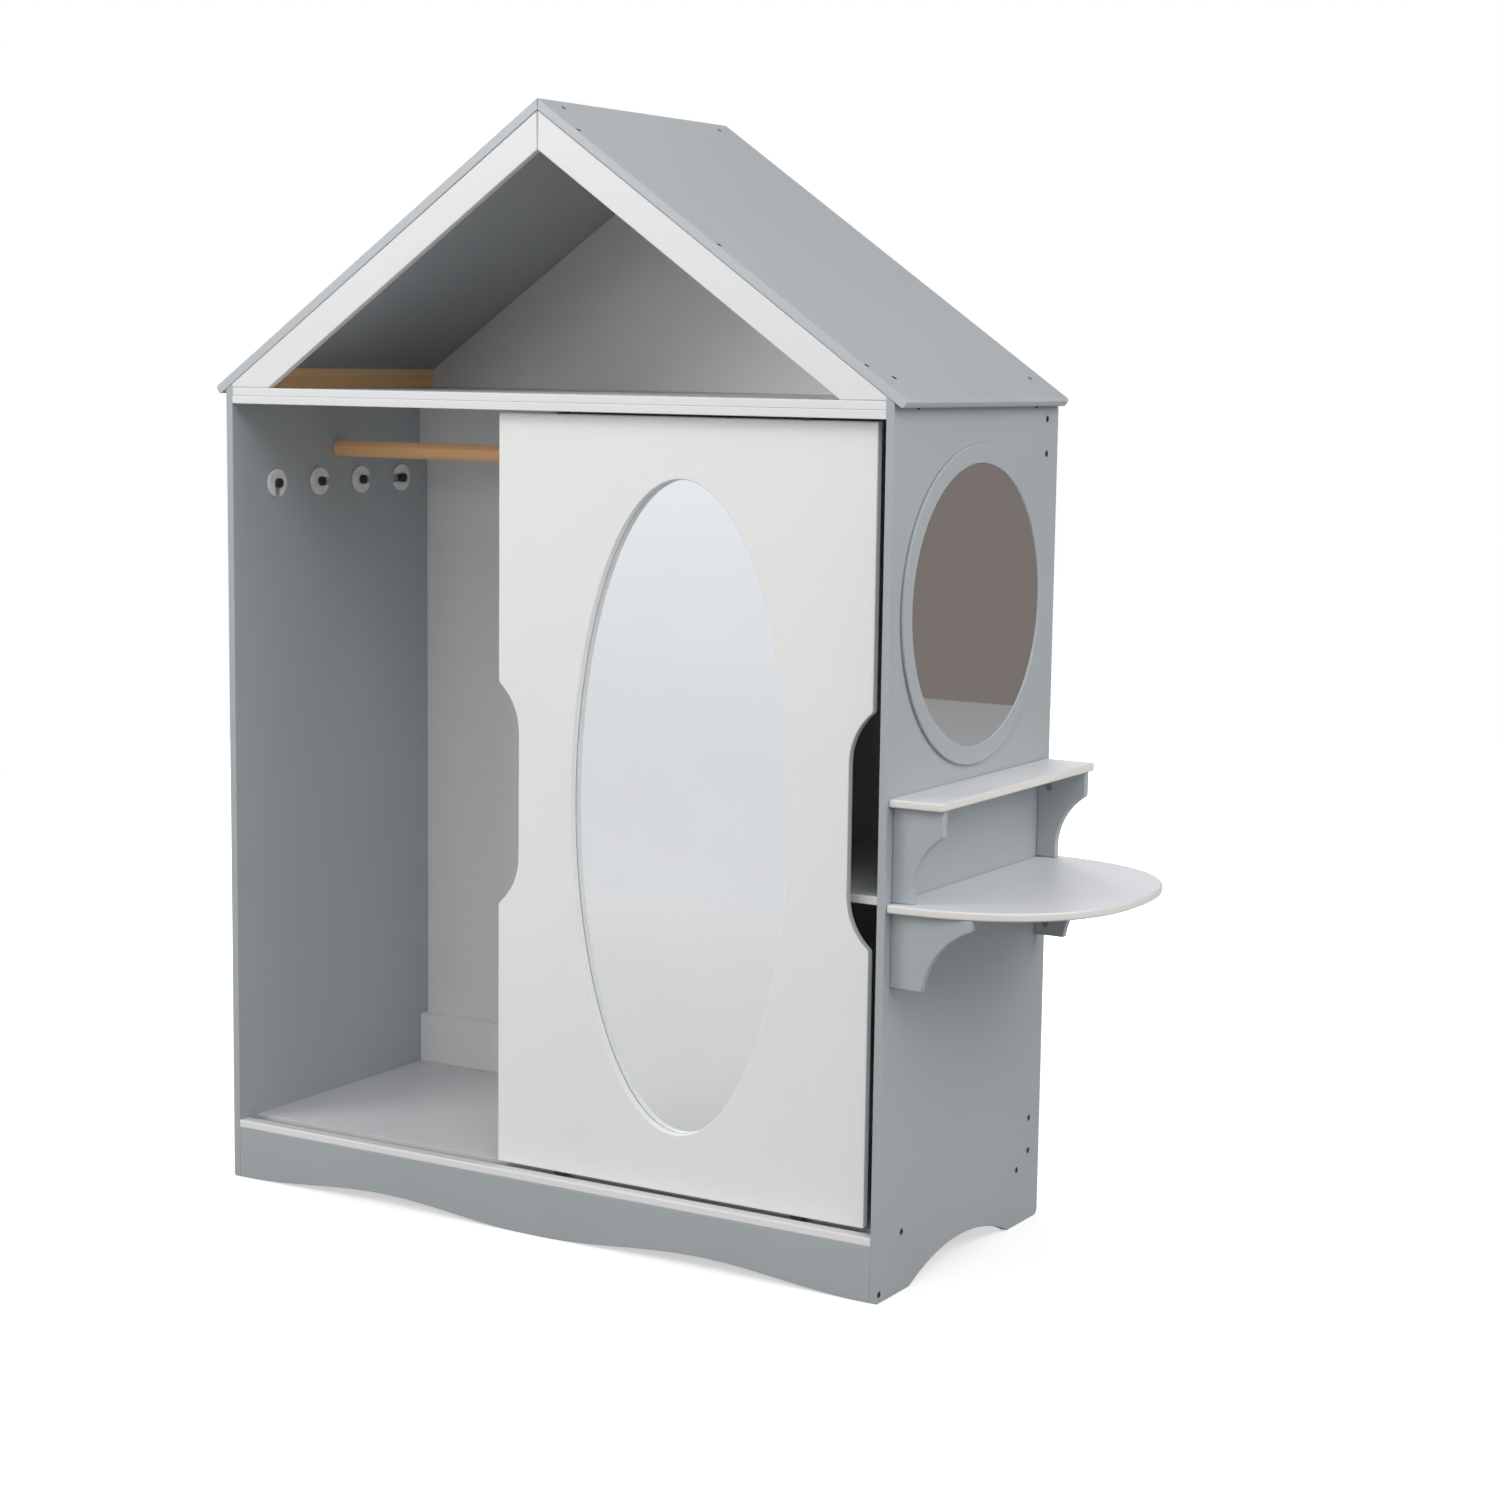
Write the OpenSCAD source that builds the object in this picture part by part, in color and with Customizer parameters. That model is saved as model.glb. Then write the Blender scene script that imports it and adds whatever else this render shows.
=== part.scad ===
// Children's dress up storage unit: a house-shaped wardrobe with a sliding mirror door,
// an open hanging bay, two cubbies, a roof shelf and a small vanity on its right side.
// Millimetres. x runs right from the left panel's outer face, y back from the front face
// and z up from the floor, and in_frame() then centres the whole thing on its footprint.

/* [Cabinet] */
// Width over both side panels
width = 1000; // [950:10:1200]
// Depth of the side panels
depth = 446; // [430:2:560]
// Height of the side panels at their outer faces
wall_h = 1070; // [1050:5:1290]
// Thickness of the painted boards
board_t = 10.5; // [9:0.5:12.5]
// Height of the apron under the bottom shelf
plinth_h = 69.5; // [58:0.5:84]
// How far the roof and shelves stop short of the side panels' rear edges
rear_step = 6; // [2:1:12]
// How far the attic floor stands above the side panels' outer top edge
attic_lift = 2; // [0:0.5:4]
// Length of the arch cut under each side panel
arch_chord = 274; // [200:2:300]
// Height of that arch
arch_h = 30; // [20:1:45]
// Radius of the side panels' rear bottom corners
foot_r = 8; // [2:1:12]
// Height of the two waves cut along the apron's lower edge
wave_h = 15; // [8:1:20]
// Length of apron left flat on the floor at each end and in the middle
wave_foot = 20; // [10:1:30]

/* [Back] */
// Thickness of the two back rails
rail_t = 18; // [15:1:22]
// Height of each back rail
rail_h = 71.5; // [60:0.5:86]
// Thickness of the thin back panel
back_t = 3.5; // [3:0.5:6]
// Distance from the shelves' rear edge to the back panel's front face
back_inset = 18; // [12:1:22]

/* [Inside] */
// Clear space between the mirror's backing board and the divider
door_rear_gap = 5.5; // [3:0.5:8]
// Height of the cubby shelf's underside above the floor
cubby_z = 475; // [400:5:570]
// Diameter of the hanging rod
rod_d = 22; // [18:1:27]
// Height of the rod's axis
rod_z = 988; // [940:2:995]
// Number of coat hooks on the left panel
hook_count = 4; // [2:1:4]
// Distance of the first hook from the front
hook_first_y = 86; // [70:1:100]
// Distance between two hooks
hook_pitch = 90.5; // [60:0.5:94]
// Height of the hooks
hook_z = 944; // [880:2:944]
// Diameter of a hook's clear disc
hook_disc_d = 38; // [30:1:46]
// Thickness of the disc
hook_disc_t = 4.5; // [3:0.5:6]
// Width of the notch in the disc
hook_notch_w = 11; // [8:0.5:12]
// Diameter of a hook's knob
hook_knob_d = 13; // [12.5:0.5:16]
// How far the knob stands out from the disc
hook_knob_h = 5.5; // [4:0.5:12]

/* [Roof] */
// Slope of the roof
roof_pitch = 34.6; // [28:0.1:42]
// Thickness of the roof boards
roof_t = 12; // [10:0.5:15]
// How far the eaves reach past the side panels
eave_over = 16; // [12:1:30]
// Radius of the eaves' edges
eave_r = 4; // [1:0.5:4.5]
// Width of the rake boards, square to the slope
rake_w = 39; // [32:1:47]
// Distance from the roof's rear edge to the gable panel's front face
gable_setback = 44; // [30:1:60]
// Width of the cleats along the eaves
cleat_w = 30.5; // [26:0.5:36]
// Height of those cleats above the attic floor
cleat_h = 15.5; // [12:0.5:18]
// Height of the ridge cleat below the roof's inner peak
ridge_cleat_h = 30; // [26:1:40]

/* [Door] */
// Width of the sliding door
door_w = 540; // [500:5:600]
// Space between the closed door and the right panel
door_rest_gap = 20.5; // [5:0.5:40]
// Setback of the door's face from the cabinet's front
door_setback = 20; // [17:0.5:26]
// Gap under the door
door_floor_gap = 3; // [2:0.5:5]
// Gap above the door
door_top_gap = 3; // [2:0.5:5]
// Half the width of the oval cut-out
oval_a = 157.5; // [120:0.5:165]
// Half the height of the oval cut-out
oval_b = 407; // [330:1:425]
// Thickness of the mirror glass
glass_t = 3; // [2:0.5:4]
// How far the glass laps behind the door
glass_lap = 8; // [5:0.5:10]
// Thickness of the mirror's backing board and the spacer round its glass together
backing_t = 6; // [5.5:0.5:8]
// How far the spacer and the backing board lap behind the door
backing_lap = 25; // [20:0.5:27]
// Depth of the grip cut in each edge
grip_depth = 31; // [20:1:36]
// Radius of the grip's ends
grip_r = 80; // [60:1:96]
// Length of the grip's straight stretch
grip_flat = 158; // [100:2:190]
// Radius of the corners at the grip's mouth
grip_mouth_r = 6; // [3:0.5:10]

/* [Track] */
// Width of the grooves in the bottom shelf and the top rail
groove_w = 19; // [17.5:0.5:23]
// Depth of the bottom groove
groove_depth = 4; // [3:0.5:5]
// Depth of the top groove
top_groove_depth = 6; // [5:0.5:7]
// Radius of a roller
wheel_r = 11; // [9:0.5:13.5]
// Width of a roller
wheel_w = 4; // [3:0.5:4.8]
// Radius of a roller's axle
axle_r = 1.5; // [1:0.25:2]
// Distance of the rollers and guides from the door's edges
roller_inset = 95; // [70:5:120]
// Length of a roller's housing
housing_l = 34; // [32:1:44]
// Width of a roller's housing
housing_w = 6.5; // [6.5:0.25:7.5]
// Radius of a top guide's head
guide_r = 8; // [6:0.5:8.5]
// Height of that head above the door's top edge
guide_h = 7; // [6:0.5:7.5]

/* [Vanity] */
// Height of the vanity table's underside
table_z = 475; // [430:5:570]
// Reach of the table from the side panel
table_reach = 231; // [180:1:280]
// Half the length of the table along the panel
table_half = 217; // [215:1:219]
// Squareness of the table's curve, where 2 is an ellipse
table_power = 2.4; // [2:0.1:3]
// Length of the small shelf
ledge_l = 430; // [424:1:438]
// Reach of the small shelf from the side panel
ledge_reach = 70; // [68:1:84]
// Radius of the small shelf's outer corners
ledge_r = 5; // [2:1:12]
// Height of the upper brackets
upper_h = 115; // [96:1:138]
// Depth of the upper brackets at the top
upper_top = 66.5; // [60:0.5:67]
// Depth of the upper brackets at the table
upper_foot = 28; // [25:0.5:40]
// Straight stretch at the top of the upper brackets' outer edge
upper_straight = 31.5; // [20:0.5:40]
// Height of the lower brackets
lower_h = 92; // [80:1:110]
// Depth of the lower brackets under the table
lower_top = 105.5; // [90:0.5:126]
// Depth of the lower brackets at their lower end
lower_foot = 41.5; // [30:0.5:50]
// Straight stretch at the top of the lower brackets' outer edge
lower_straight = 13.3; // [8:0.1:20]
// Bow of the brackets' hollow edges
bracket_bow = 14; // [8:0.5:18]
// Distance of the brackets from the small shelf's ends
bracket_inset = 11.5; // [8:0.5:20]

/* [Side mirror] */
// Height of the round mirror's centre
mirror_z = 824; // [815:1:850]
// Outer radius of its ring
ring_r = 196; // [160:1:210]
// Width of the ring
ring_w = 23.5; // [18:0.5:30]
// Thickness of the ring
ring_t = 4.5; // [3.5:0.5:6]

/* [Fasteners] */
// Radius of a carcass bolt's head
bolt_head_r = 4.25; // [3.5:0.25:4.5]
// Height of every flush head
head_h = 2; // [1.5:0.25:2.5]
// Radius of a carcass bolt's shank
bolt_r = 3; // [2.5:0.25:3.25]
// Length of a carcass bolt
bolt_len = 40; // [30:1:50]
// Radius of a screw's head
screw_head_r = 3.5; // [3:0.25:3.75]
// Radius of a screw's shank
screw_r = 1.6; // [1.2:0.1:2]
// Length of a roof screw
roof_screw_len = 20; // [17:1:21]
// Radius of a bracket's barrel nut
barrel_r = 4.75; // [4.5:0.25:6]
// Radius of a dowel
dowel_r = 3; // [2.5:0.25:3.5]
// Depth of a dowel in the board that it stands in
dowel_seat = 5; // [4:0.5:6]

/* [Hidden] */
$fn = 64;

grey_paint = [0.66, 0.69, 0.71];
white_paint = [0.91, 0.91, 0.91];
door_white = [0.88, 0.88, 0.87];
bare_wood = [0.78, 0.58, 0.38];
slate_metal = [0.22, 0.24, 0.26];
black_plastic = [0.06, 0.06, 0.07];
dark_nylon = [0.12, 0.12, 0.13];
clear_plastic = [0.85, 0.88, 0.9];
mirror_silver = [0.8, 0.84, 0.88];
fibreboard = [0.6, 0.48, 0.34];

// clearances
hole_clear = 0.1;
axle_clear = 0.05;
wheel_side_clear = 0.3;
wheel_floor_gap = 0.3;
wheel_slot_clear = 0.8;
glass_clear = 0.2;
over = 1;

// boards
shelf_d = depth - rear_step;
mid_x = width / 2;
mid_y = shelf_d / 2;
inner_w = width - 2 * board_t;
shelf_top = plinth_h + board_t;
attic_top = wall_h + attic_lift;
attic_z = attic_top - board_t;
track_z = attic_z - board_t;
back_y = shelf_d - back_inset;
rail_y = back_y - rail_t;
arch_r = (arch_chord * arch_chord / 4 + arch_h * arch_h) / (2 * arch_h);
wave_steps = 24;

// roof
peak_z = wall_h + mid_x * tan(roof_pitch);
ridge_z = peak_z + roof_t / cos(roof_pitch);
slope_l = (mid_x + eave_over - eave_r * (1 - sin(roof_pitch))) / cos(roof_pitch) + eave_r;
gable_y = shelf_d - gable_setback;
roof_reach = mid_x + eave_over + over;
rake_screw_inset = 70;
eave_screw_inset = 46;
cleat_screw_y = 36;
ridge_screw_s = roof_screw_len * tan(roof_pitch) + 2 * screw_r;

// door
door_y = door_setback;
door_back_y = door_y + board_t;
door_mid_y = door_y + board_t / 2;
door_z0 = shelf_top + door_floor_gap;
door_z1 = track_z - door_top_gap;
door_h = door_z1 - door_z0;
door_x1 = width - board_t - door_rest_gap;
door_x0 = door_x1 - door_w;
door_mid_x = (door_x0 + door_x1) / 2;
door_mid_z = (door_z0 + door_z1) / 2;
oval_steps = 120;
backing_rim = (glass_lap + backing_lap) / 2;
backing_screw_count = 8;
backing_screw_len = backing_t + board_t / 2;
divider_y = door_back_y + backing_t + door_rear_gap;
roller_left_x = door_x0 + roller_inset;
roller_right_x = door_x1 - roller_inset;
axle_z = shelf_top - groove_depth + wheel_floor_gap + wheel_r;
housing_roof = 2;
housing_top = axle_z + wheel_r + wheel_slot_clear + housing_roof;
guide_stem_r = 2.5;
guide_stem_l = 18;

// carcass bolts, as [y, z] on a side panel
shelf_bolt_inset = 60;
rail_bolt_spread = 44;
rail_mid_y = rail_y + rail_t / 2;
apron_bolt_z = 11;
bolt_top_margin = 0.5;
attic_bolt_z = wall_h - bolt_head_r - bolt_top_margin;
attic_bolts = [for (y = [shelf_bolt_inset, shelf_d - shelf_bolt_inset]) [y, attic_bolt_z]];
top_rail_bolts = [for (side = [-1, 1]) [rail_mid_y, attic_z - (rail_h + side * rail_bolt_spread) / 2]];
bottom_rail_bolts = [for (side = [-1, 1]) [rail_mid_y, shelf_top + (rail_h + side * rail_bolt_spread) / 2]];
shelf_bolts = [for (y = [shelf_bolt_inset, shelf_d - shelf_bolt_inset]) [y, plinth_h + board_t / 2]];
apron_bolts = [[board_t / 2, apron_bolt_z]];
panel_bolts = concat(attic_bolts, top_rail_bolts, bottom_rail_bolts, shelf_bolts, apron_bolts);
rod_bolt_len = 45;
divider_screw_ys = [100, 340];
divider_screw_len = 34;
cubby_dowel_ys = [100, 340];
dowel_l = 3 * dowel_seat;
back_screw_len = 15;
back_screw_inset = 50;
back_screw_xs = [for (i = [-2:2]) mid_x + i * (inner_w - 2 * back_screw_inset) / 4];
back_screw_zs = [shelf_top + rail_h / 2, attic_z - rail_h / 2];

// hooks
hook_screw_r = 2;
hook_stem_r = 3.5;
// which way each notch opens, turned from straight up towards the back
hook_turns = [180, 90, 90, -90];

// roof screws, as [distance from the ridge along the top, y]
rake_screws = [for (s = [rake_screw_inset, slope_l / 2, slope_l - rake_screw_inset]) [s, board_t / 2]];
cleat_ridge_screws = [[ridge_screw_s, cleat_screw_y]];
cleat_eave_screws = [[slope_l - eave_screw_inset, cleat_screw_y]];
gable_screws = [for (s = [ridge_screw_s, slope_l - eave_screw_inset]) [s, gable_y + board_t / 2]];
all_roof_screws = concat(rake_screws, cleat_ridge_screws, cleat_eave_screws, gable_screws);

// vanity
ledge_z = table_z + board_t + upper_h;
ledge_y = mid_y - ledge_l / 2;
bracket_front_y = ledge_y + bracket_inset;
bracket_rear_y = mid_y + ledge_l / 2 - bracket_inset - board_t;
table_steps = 64;
barrel_x = 16;
barrel_web = 1.5;
barrel_depth = board_t - barrel_web;
upper_barrel_drop = 23.5;
lower_barrel_drop = 77;
upper_barrel_z = ledge_z - upper_barrel_drop;
lower_barrel_z = table_z - lower_barrel_drop;
bracket_bolt_len = board_t + barrel_x + bolt_r;
table_dowel_x = 15;
table_tip_dowel_x = 85;
ledge_dowel_x = 46;

// centre of the footprint along x
centre_x = (width + table_reach - eave_over) / 2;

// ---- shared shapes ----

// moves a piece into the part's own frame
module in_frame() translate([-centre_x, -depth / 2, 0]) children();

// draws its children and their mirror image on the other side of the cabinet
module both_sides() {
    children();
    on_right() children();
}

module on_right() translate([width, 0, 0]) mirror([1, 0, 0]) children();

// extrudes an outline drawn as [x, z] from y0 back over a length
module along_y(y0, length) {
    translate([0, y0 + length, 0]) rotate([90, 0, 0]) linear_extrude(length) children();
}

// extrudes an outline drawn as [y, z] from x0 to the right over a length
module along_x(x0, length) translate([x0, 0, 0]) rotate([90, 0, 90]) linear_extrude(length) children();

module box_at(x, y, z, size) translate([x, y, z]) cube(size);

module rod_x(r, length) rotate([0, 90, 0]) cylinder(r = r, h = length);

module rod_y(r, length) rotate([-90, 0, 0]) cylinder(r = r, h = length);

// a flush-headed bolt or screw with its head's face at the origin and its shank along +x
module fastener(head_r, r, length) {
    rod_x(head_r, head_h);
    rod_x(r, length);
}

// the stepped hole that it sits in
module fastener_hole(head_r, r, length) {
    translate([-over, 0, 0]) rod_x(head_r + hole_clear, head_h + over);
    rod_x(r + hole_clear, length + hole_clear);
}

// the corner of an outline that lies outside a radius r, with the corner at the origin
module corner_waste(r) difference() {
    translate([-over, -over]) square(r + over);
    translate([r, r]) circle(r);
}

function oval_points(a, b) = [
    for (i = [0:oval_steps - 1]) let (t = 360 * i / oval_steps) [a * cos(t), b * sin(t)]
];

// circle through p and q whose arc between them bows by s
function bow_r(p, q, s) = (norm(q - p) ^ 2 / 4 + s ^ 2) / (2 * s);
function bow_centre(p, q, s) = let (u = (q - p) / norm(q - p))
    (p + q) / 2 + [-u.y, u.x] * (bow_r(p, q, s) - s);

// ---- carcass ----

module side_outline() difference() {
    square([depth, peak_z]);
    translate([mid_y, arch_h - arch_r]) circle(arch_r, $fn = 128);
    translate([depth, 0]) mirror([1, 0]) corner_waste(foot_r);
}

// everything below the undersides of the roof, as an [x, z] outline
module below_roof() polygon([
    [-over, 0], [-over, wall_h - over * tan(roof_pitch)], [mid_x, peak_z],
    [width + over, wall_h - over * tan(roof_pitch)], [width + over, 0]
]);

module panel_bolt_holes(spots) {
    both_sides() for (s = spots) translate([0, s.x, s.y]) fastener_hole(bolt_head_r, bolt_r, bolt_len);
}

module side_blank() difference() {
    intersection() {
        along_x(0, board_t) side_outline();
        along_y(-over, depth + 2 * over) below_roof();
    }
    for (s = panel_bolts) translate([0, s.x, s.y]) fastener_hole(bolt_head_r, bolt_r, bolt_len);
}

module left_side_panel() color(grey_paint) in_frame() difference() {
    side_blank();
    rod_bolt_place() fastener_hole(bolt_head_r, bolt_r, rod_bolt_len);
    hook_places() translate([-over, 0, 0]) rod_x(hook_screw_r + hole_clear, board_t + 2 * over);
}

module right_side_panel() color(grey_paint) in_frame() difference() {
    on_right() side_blank();
    bracket_bolt_places() fastener_hole(bolt_head_r, bolt_r, bracket_bolt_len);
    cubby_dowels(hole_clear);
}

module bottom_shelf() color(white_paint) in_frame() difference() {
    box_at(board_t, 0, plinth_h, [inner_w, shelf_d, board_t]);
    box_at(0, door_mid_y - groove_w / 2, shelf_top - groove_depth, [width, groove_w, groove_depth + over]);
    panel_bolt_holes(shelf_bolts);
    divider_screw_places() fastener_hole(screw_head_r, screw_r, divider_screw_len);
}

function wave_z(x, x0, x1) = wave_h * sin(180 * (x - x0) / (x1 - x0)) ^ 2;
function wave_points(x0, x1) = [
    for (i = [0:wave_steps]) let (x = x0 + (x1 - x0) * i / wave_steps) [x, wave_z(x, x0, x1)]
];

module front_apron() color(grey_paint) in_frame() difference() {
    along_y(0, board_t) polygon(concat(
        [[width - board_t, plinth_h], [board_t, plinth_h], [board_t, 0]],
        wave_points(board_t + wave_foot / 4, mid_x - wave_foot / 2),
        wave_points(mid_x + wave_foot / 2, width - board_t - wave_foot / 4),
        [[width - board_t, 0]]
    ));
    panel_bolt_holes(apron_bolts);
}

module attic_floor() color(white_paint) in_frame() difference() {
    box_at(board_t, 0, attic_z, [inner_w, shelf_d, board_t]);
    panel_bolt_holes(attic_bolts);
    divider_screw_places() fastener_hole(screw_head_r, screw_r, divider_screw_len);
}

module top_track_rail() color(white_paint) in_frame() difference() {
    box_at(board_t, 0, track_z, [inner_w, divider_y, board_t]);
    box_at(0, door_mid_y - groove_w / 2, track_z - over, [width, groove_w, top_groove_depth + over]);
}

module back_panel() color(white_paint) in_frame() difference() {
    box_at(board_t, back_y, shelf_top, [inner_w, back_t, attic_z - shelf_top]);
    back_screw_places() fastener_hole(screw_head_r, screw_r, back_screw_len);
}

module back_rail(z, bolts) color(white_paint) in_frame() difference() {
    box_at(board_t, rail_y, z, [inner_w, rail_t, rail_h]);
    panel_bolt_holes(bolts);
    back_screw_places() fastener_hole(screw_head_r, screw_r, back_screw_len);
}

module back_top_rail() back_rail(attic_z - rail_h, top_rail_bolts);

module back_bottom_rail() back_rail(shelf_top, bottom_rail_bolts);

module divider_panel() color(white_paint) in_frame() difference() {
    along_x(mid_x - board_t / 2, board_t) difference() {
        translate([divider_y, shelf_top]) square([back_y - divider_y, attic_z - shelf_top]);
        for (z = [shelf_top - over, attic_z - rail_h]) {
            translate([rail_y, z]) square([rail_t + over, rail_h + over]);
        }
    }
    rod_bolt_place() fastener_hole(bolt_head_r, bolt_r, rod_bolt_len);
    divider_screw_places() fastener_hole(screw_head_r, screw_r, divider_screw_len);
    cubby_dowels(hole_clear);
}

module cubby_shelf() color(white_paint) in_frame() difference() {
    box_at(mid_x + board_t / 2, divider_y, cubby_z, [mid_x - 1.5 * board_t, back_y - divider_y, board_t]);
    cubby_dowels(hole_clear);
}

module cubby_dowels(extra) {
    for (x = [mid_x + board_t / 2 - dowel_seat - extra, width - board_t - dowel_l + dowel_seat - extra]) {
        for (y = cubby_dowel_ys) {
            translate([x, y, cubby_z + board_t / 2]) rod_x(dowel_r + extra, dowel_l + 2 * extra);
        }
    }
}

module cubby_shelf_dowels() color(bare_wood) in_frame() cubby_dowels(0);

module carcass_bolts() color(slate_metal) in_frame() {
    both_sides() for (s = panel_bolts) translate([0, s.x, s.y]) fastener(bolt_head_r, bolt_r, bolt_len);
}

// two screws up through the bottom shelf and two down through the attic floor
module divider_screw_places() for (y = divider_screw_ys) {
    translate([mid_x, y, plinth_h]) rotate([0, -90, 0]) children();
    translate([mid_x, y, attic_top]) rotate([0, 90, 0]) children();
}

module divider_screws() color(slate_metal) in_frame() {
    divider_screw_places() fastener(screw_head_r, screw_r, divider_screw_len);
}

module back_screw_places() for (x = back_screw_xs, z = back_screw_zs) {
    translate([x, back_y + back_t, z]) rotate([0, 0, -90]) children();
}

module back_panel_screws() color(slate_metal) in_frame() {
    back_screw_places() fastener(screw_head_r, screw_r, back_screw_len);
}

// ---- hanging rod and hooks ----

module rod_bolt_place() {
    translate([0, mid_y, rod_z]) children();
    translate([mid_x + board_t / 2, mid_y, rod_z]) rotate([0, 0, 180]) children();
}

module hanging_rod() color(bare_wood) in_frame() difference() {
    translate([board_t, mid_y, rod_z]) rod_x(rod_d / 2, mid_x - 1.5 * board_t);
    rod_bolt_place() fastener_hole(bolt_head_r, bolt_r, rod_bolt_len);
}

module rod_bolts() color(slate_metal) in_frame() rod_bolt_place() fastener(bolt_head_r, bolt_r, rod_bolt_len);

module hook_places() for (i = [0:hook_count - 1]) {
    translate([0, hook_first_y + i * hook_pitch, hook_z]) rotate([-hook_turns[i], 0, 0]) children();
}

module hook_discs() color(clear_plastic) in_frame() hook_places() translate([board_t, 0, 0]) difference() {
    rod_x(hook_disc_d / 2, hook_disc_t);
    translate([-over, 0, 0]) rod_x(hook_notch_w / 2, hook_disc_t + 2 * over);
    box_at(-over, -hook_notch_w / 2, 0, [hook_disc_t + 2 * over, hook_notch_w, hook_disc_d]);
}

module hook_knobs() color(black_plastic) in_frame() hook_places() {
    translate([board_t, 0, 0]) rod_x(hook_stem_r, hook_disc_t + over);
    translate([board_t + hook_disc_t, 0, 0]) rod_x(hook_knob_d / 2, hook_knob_h);
    translate([over, 0, 0]) rod_x(hook_screw_r, board_t);
}

// ---- roof ----

// the right roof board's section, from the ridge down the slope
module roof_section() intersection() {
    translate([mid_x, ridge_z]) rotate(-roof_pitch) difference() {
        translate([-slope_l, -roof_t]) square([2 * slope_l, roof_t]);
        translate([slope_l, -roof_t - over]) square([slope_l, roof_t + 2 * over]);
        translate([slope_l, -roof_t]) mirror([1, 0]) corner_waste(eave_r);
        translate([slope_l, 0]) mirror([1, 0]) mirror([0, 1]) corner_waste(eave_r);
    }
    translate([mid_x, 0]) square([roof_reach, ridge_z + over]);
}

// puts a screw's head on the right slope, its shank square to the roof
module on_slope(spots) for (s = spots) translate([mid_x, s.y, ridge_z]) {
    rotate([0, roof_pitch, 0]) translate([s.x, 0, 0]) rotate([0, 90, 0]) children();
}

module roof_holes(spots) on_slope(spots) fastener_hole(screw_head_r, screw_r, roof_screw_len);

module right_roof() difference() {
    along_y(0, shelf_d) roof_section();
    roof_holes(all_roof_screws);
}

module roof_panel_right() color(grey_paint) in_frame() right_roof();

module roof_panel_left() color(grey_paint) in_frame() on_right() right_roof();

module right_rake() difference() {
    along_y(0, board_t) intersection() {
        difference() {
            below_roof();
            translate([0, -rake_w / cos(roof_pitch)]) below_roof();
        }
        translate([mid_x, attic_top]) square([mid_x - board_t, peak_z]);
    }
    roof_holes(rake_screws);
}

module rake_board_right() color(white_paint) in_frame() right_rake();

module rake_board_left() color(white_paint) in_frame() on_right() right_rake();

module gable_back_panel() color(white_paint) in_frame() difference() {
    along_y(gable_y, board_t) intersection() {
        below_roof();
        translate([board_t, attic_top]) square([inner_w, peak_z]);
    }
    both_sides() roof_holes(gable_screws);
}

module ridge_cleat() color(bare_wood) in_frame() difference() {
    along_y(board_t, gable_y - board_t) intersection() {
        below_roof();
        translate([0, peak_z - ridge_cleat_h]) square([width, ridge_cleat_h]);
    }
    both_sides() roof_holes(cleat_ridge_screws);
}

// a strip along the right eave, between two heights above the attic floor
module eave_strip(low, high) difference() {
    along_y(board_t, gable_y - board_t) intersection() {
        below_roof();
        translate([width - board_t - cleat_w, attic_top + low]) square([cleat_w, high - low]);
    }
    roof_holes(cleat_eave_screws);
}

module eave_cleat_right() color(bare_wood) in_frame() eave_strip(0, cleat_h);

module eave_cleat_left() color(bare_wood) in_frame() on_right() eave_strip(0, cleat_h);

module roof_wedge_right() color(bare_wood) in_frame() eave_strip(cleat_h, 2 * cleat_h + cleat_w);

module roof_wedge_left() color(bare_wood) in_frame() on_right() eave_strip(cleat_h, 2 * cleat_h + cleat_w);

module roof_screws() color(slate_metal) in_frame() {
    both_sides() on_slope(all_roof_screws) fastener(screw_head_r, screw_r, roof_screw_len);
}

// ---- sliding door ----

// the grip cut of the left edge, with the edge on x = 0 and the grip's middle at z = 0
module grip_cut() {
    mouth_x = grip_depth - grip_r;
    fillet = [grip_mouth_r, grip_flat / 2 + sqrt((grip_r + grip_mouth_r) ^ 2 - (grip_mouth_r - mouth_x) ^ 2)];
    arc_mid = [mouth_x, grip_flat / 2];
    translate([mouth_x - grip_r, -grip_flat / 2]) square([2 * grip_r, grip_flat]);
    for (side = [0, 1]) mirror([0, side]) {
        translate(arc_mid) circle(grip_r, $fn = 96);
        difference() {
            polygon([arc_mid, [-over, fillet.y], fillet]);
            translate(fillet) circle(grip_mouth_r);
        }
    }
}

module door_outline() difference() {
    translate([door_x0, door_z0]) square([door_w, door_h]);
    translate([door_mid_x, door_mid_z]) polygon(oval_points(oval_a, oval_b));
    translate([door_x0, door_mid_z]) grip_cut();
    translate([door_x1, door_mid_z]) mirror([1, 0]) grip_cut();
}

module door_panel() color(door_white) in_frame() difference() {
    along_y(door_y, board_t) door_outline();
    for (x = [roller_left_x, roller_right_x]) {
        box_at(x - housing_l / 2, door_mid_y - housing_w / 2, door_z0 - over,
            [housing_l, housing_w, housing_top - door_z0 + over]);
        translate([x, door_mid_y, door_z1 - guide_stem_l]) {
            cylinder(r = guide_stem_r + hole_clear, h = guide_stem_l + over);
        }
    }
    backing_screw_places() fastener_hole(screw_head_r, screw_r, backing_screw_len);
}

module oval_plate(y, t, lap) along_y(y, t) translate([door_mid_x, door_mid_z]) {
    polygon(oval_points(oval_a + lap, oval_b + lap));
}

module door_mirror() color(mirror_silver) in_frame() oval_plate(door_back_y, glass_t, glass_lap);

module door_mirror_spacer() color(fibreboard) in_frame() difference() {
    oval_plate(door_back_y, glass_t, backing_lap);
    oval_plate(door_back_y - over, glass_t + 2 * over, glass_lap + glass_clear);
    backing_screw_places() fastener_hole(screw_head_r, screw_r, backing_screw_len);
}

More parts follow.
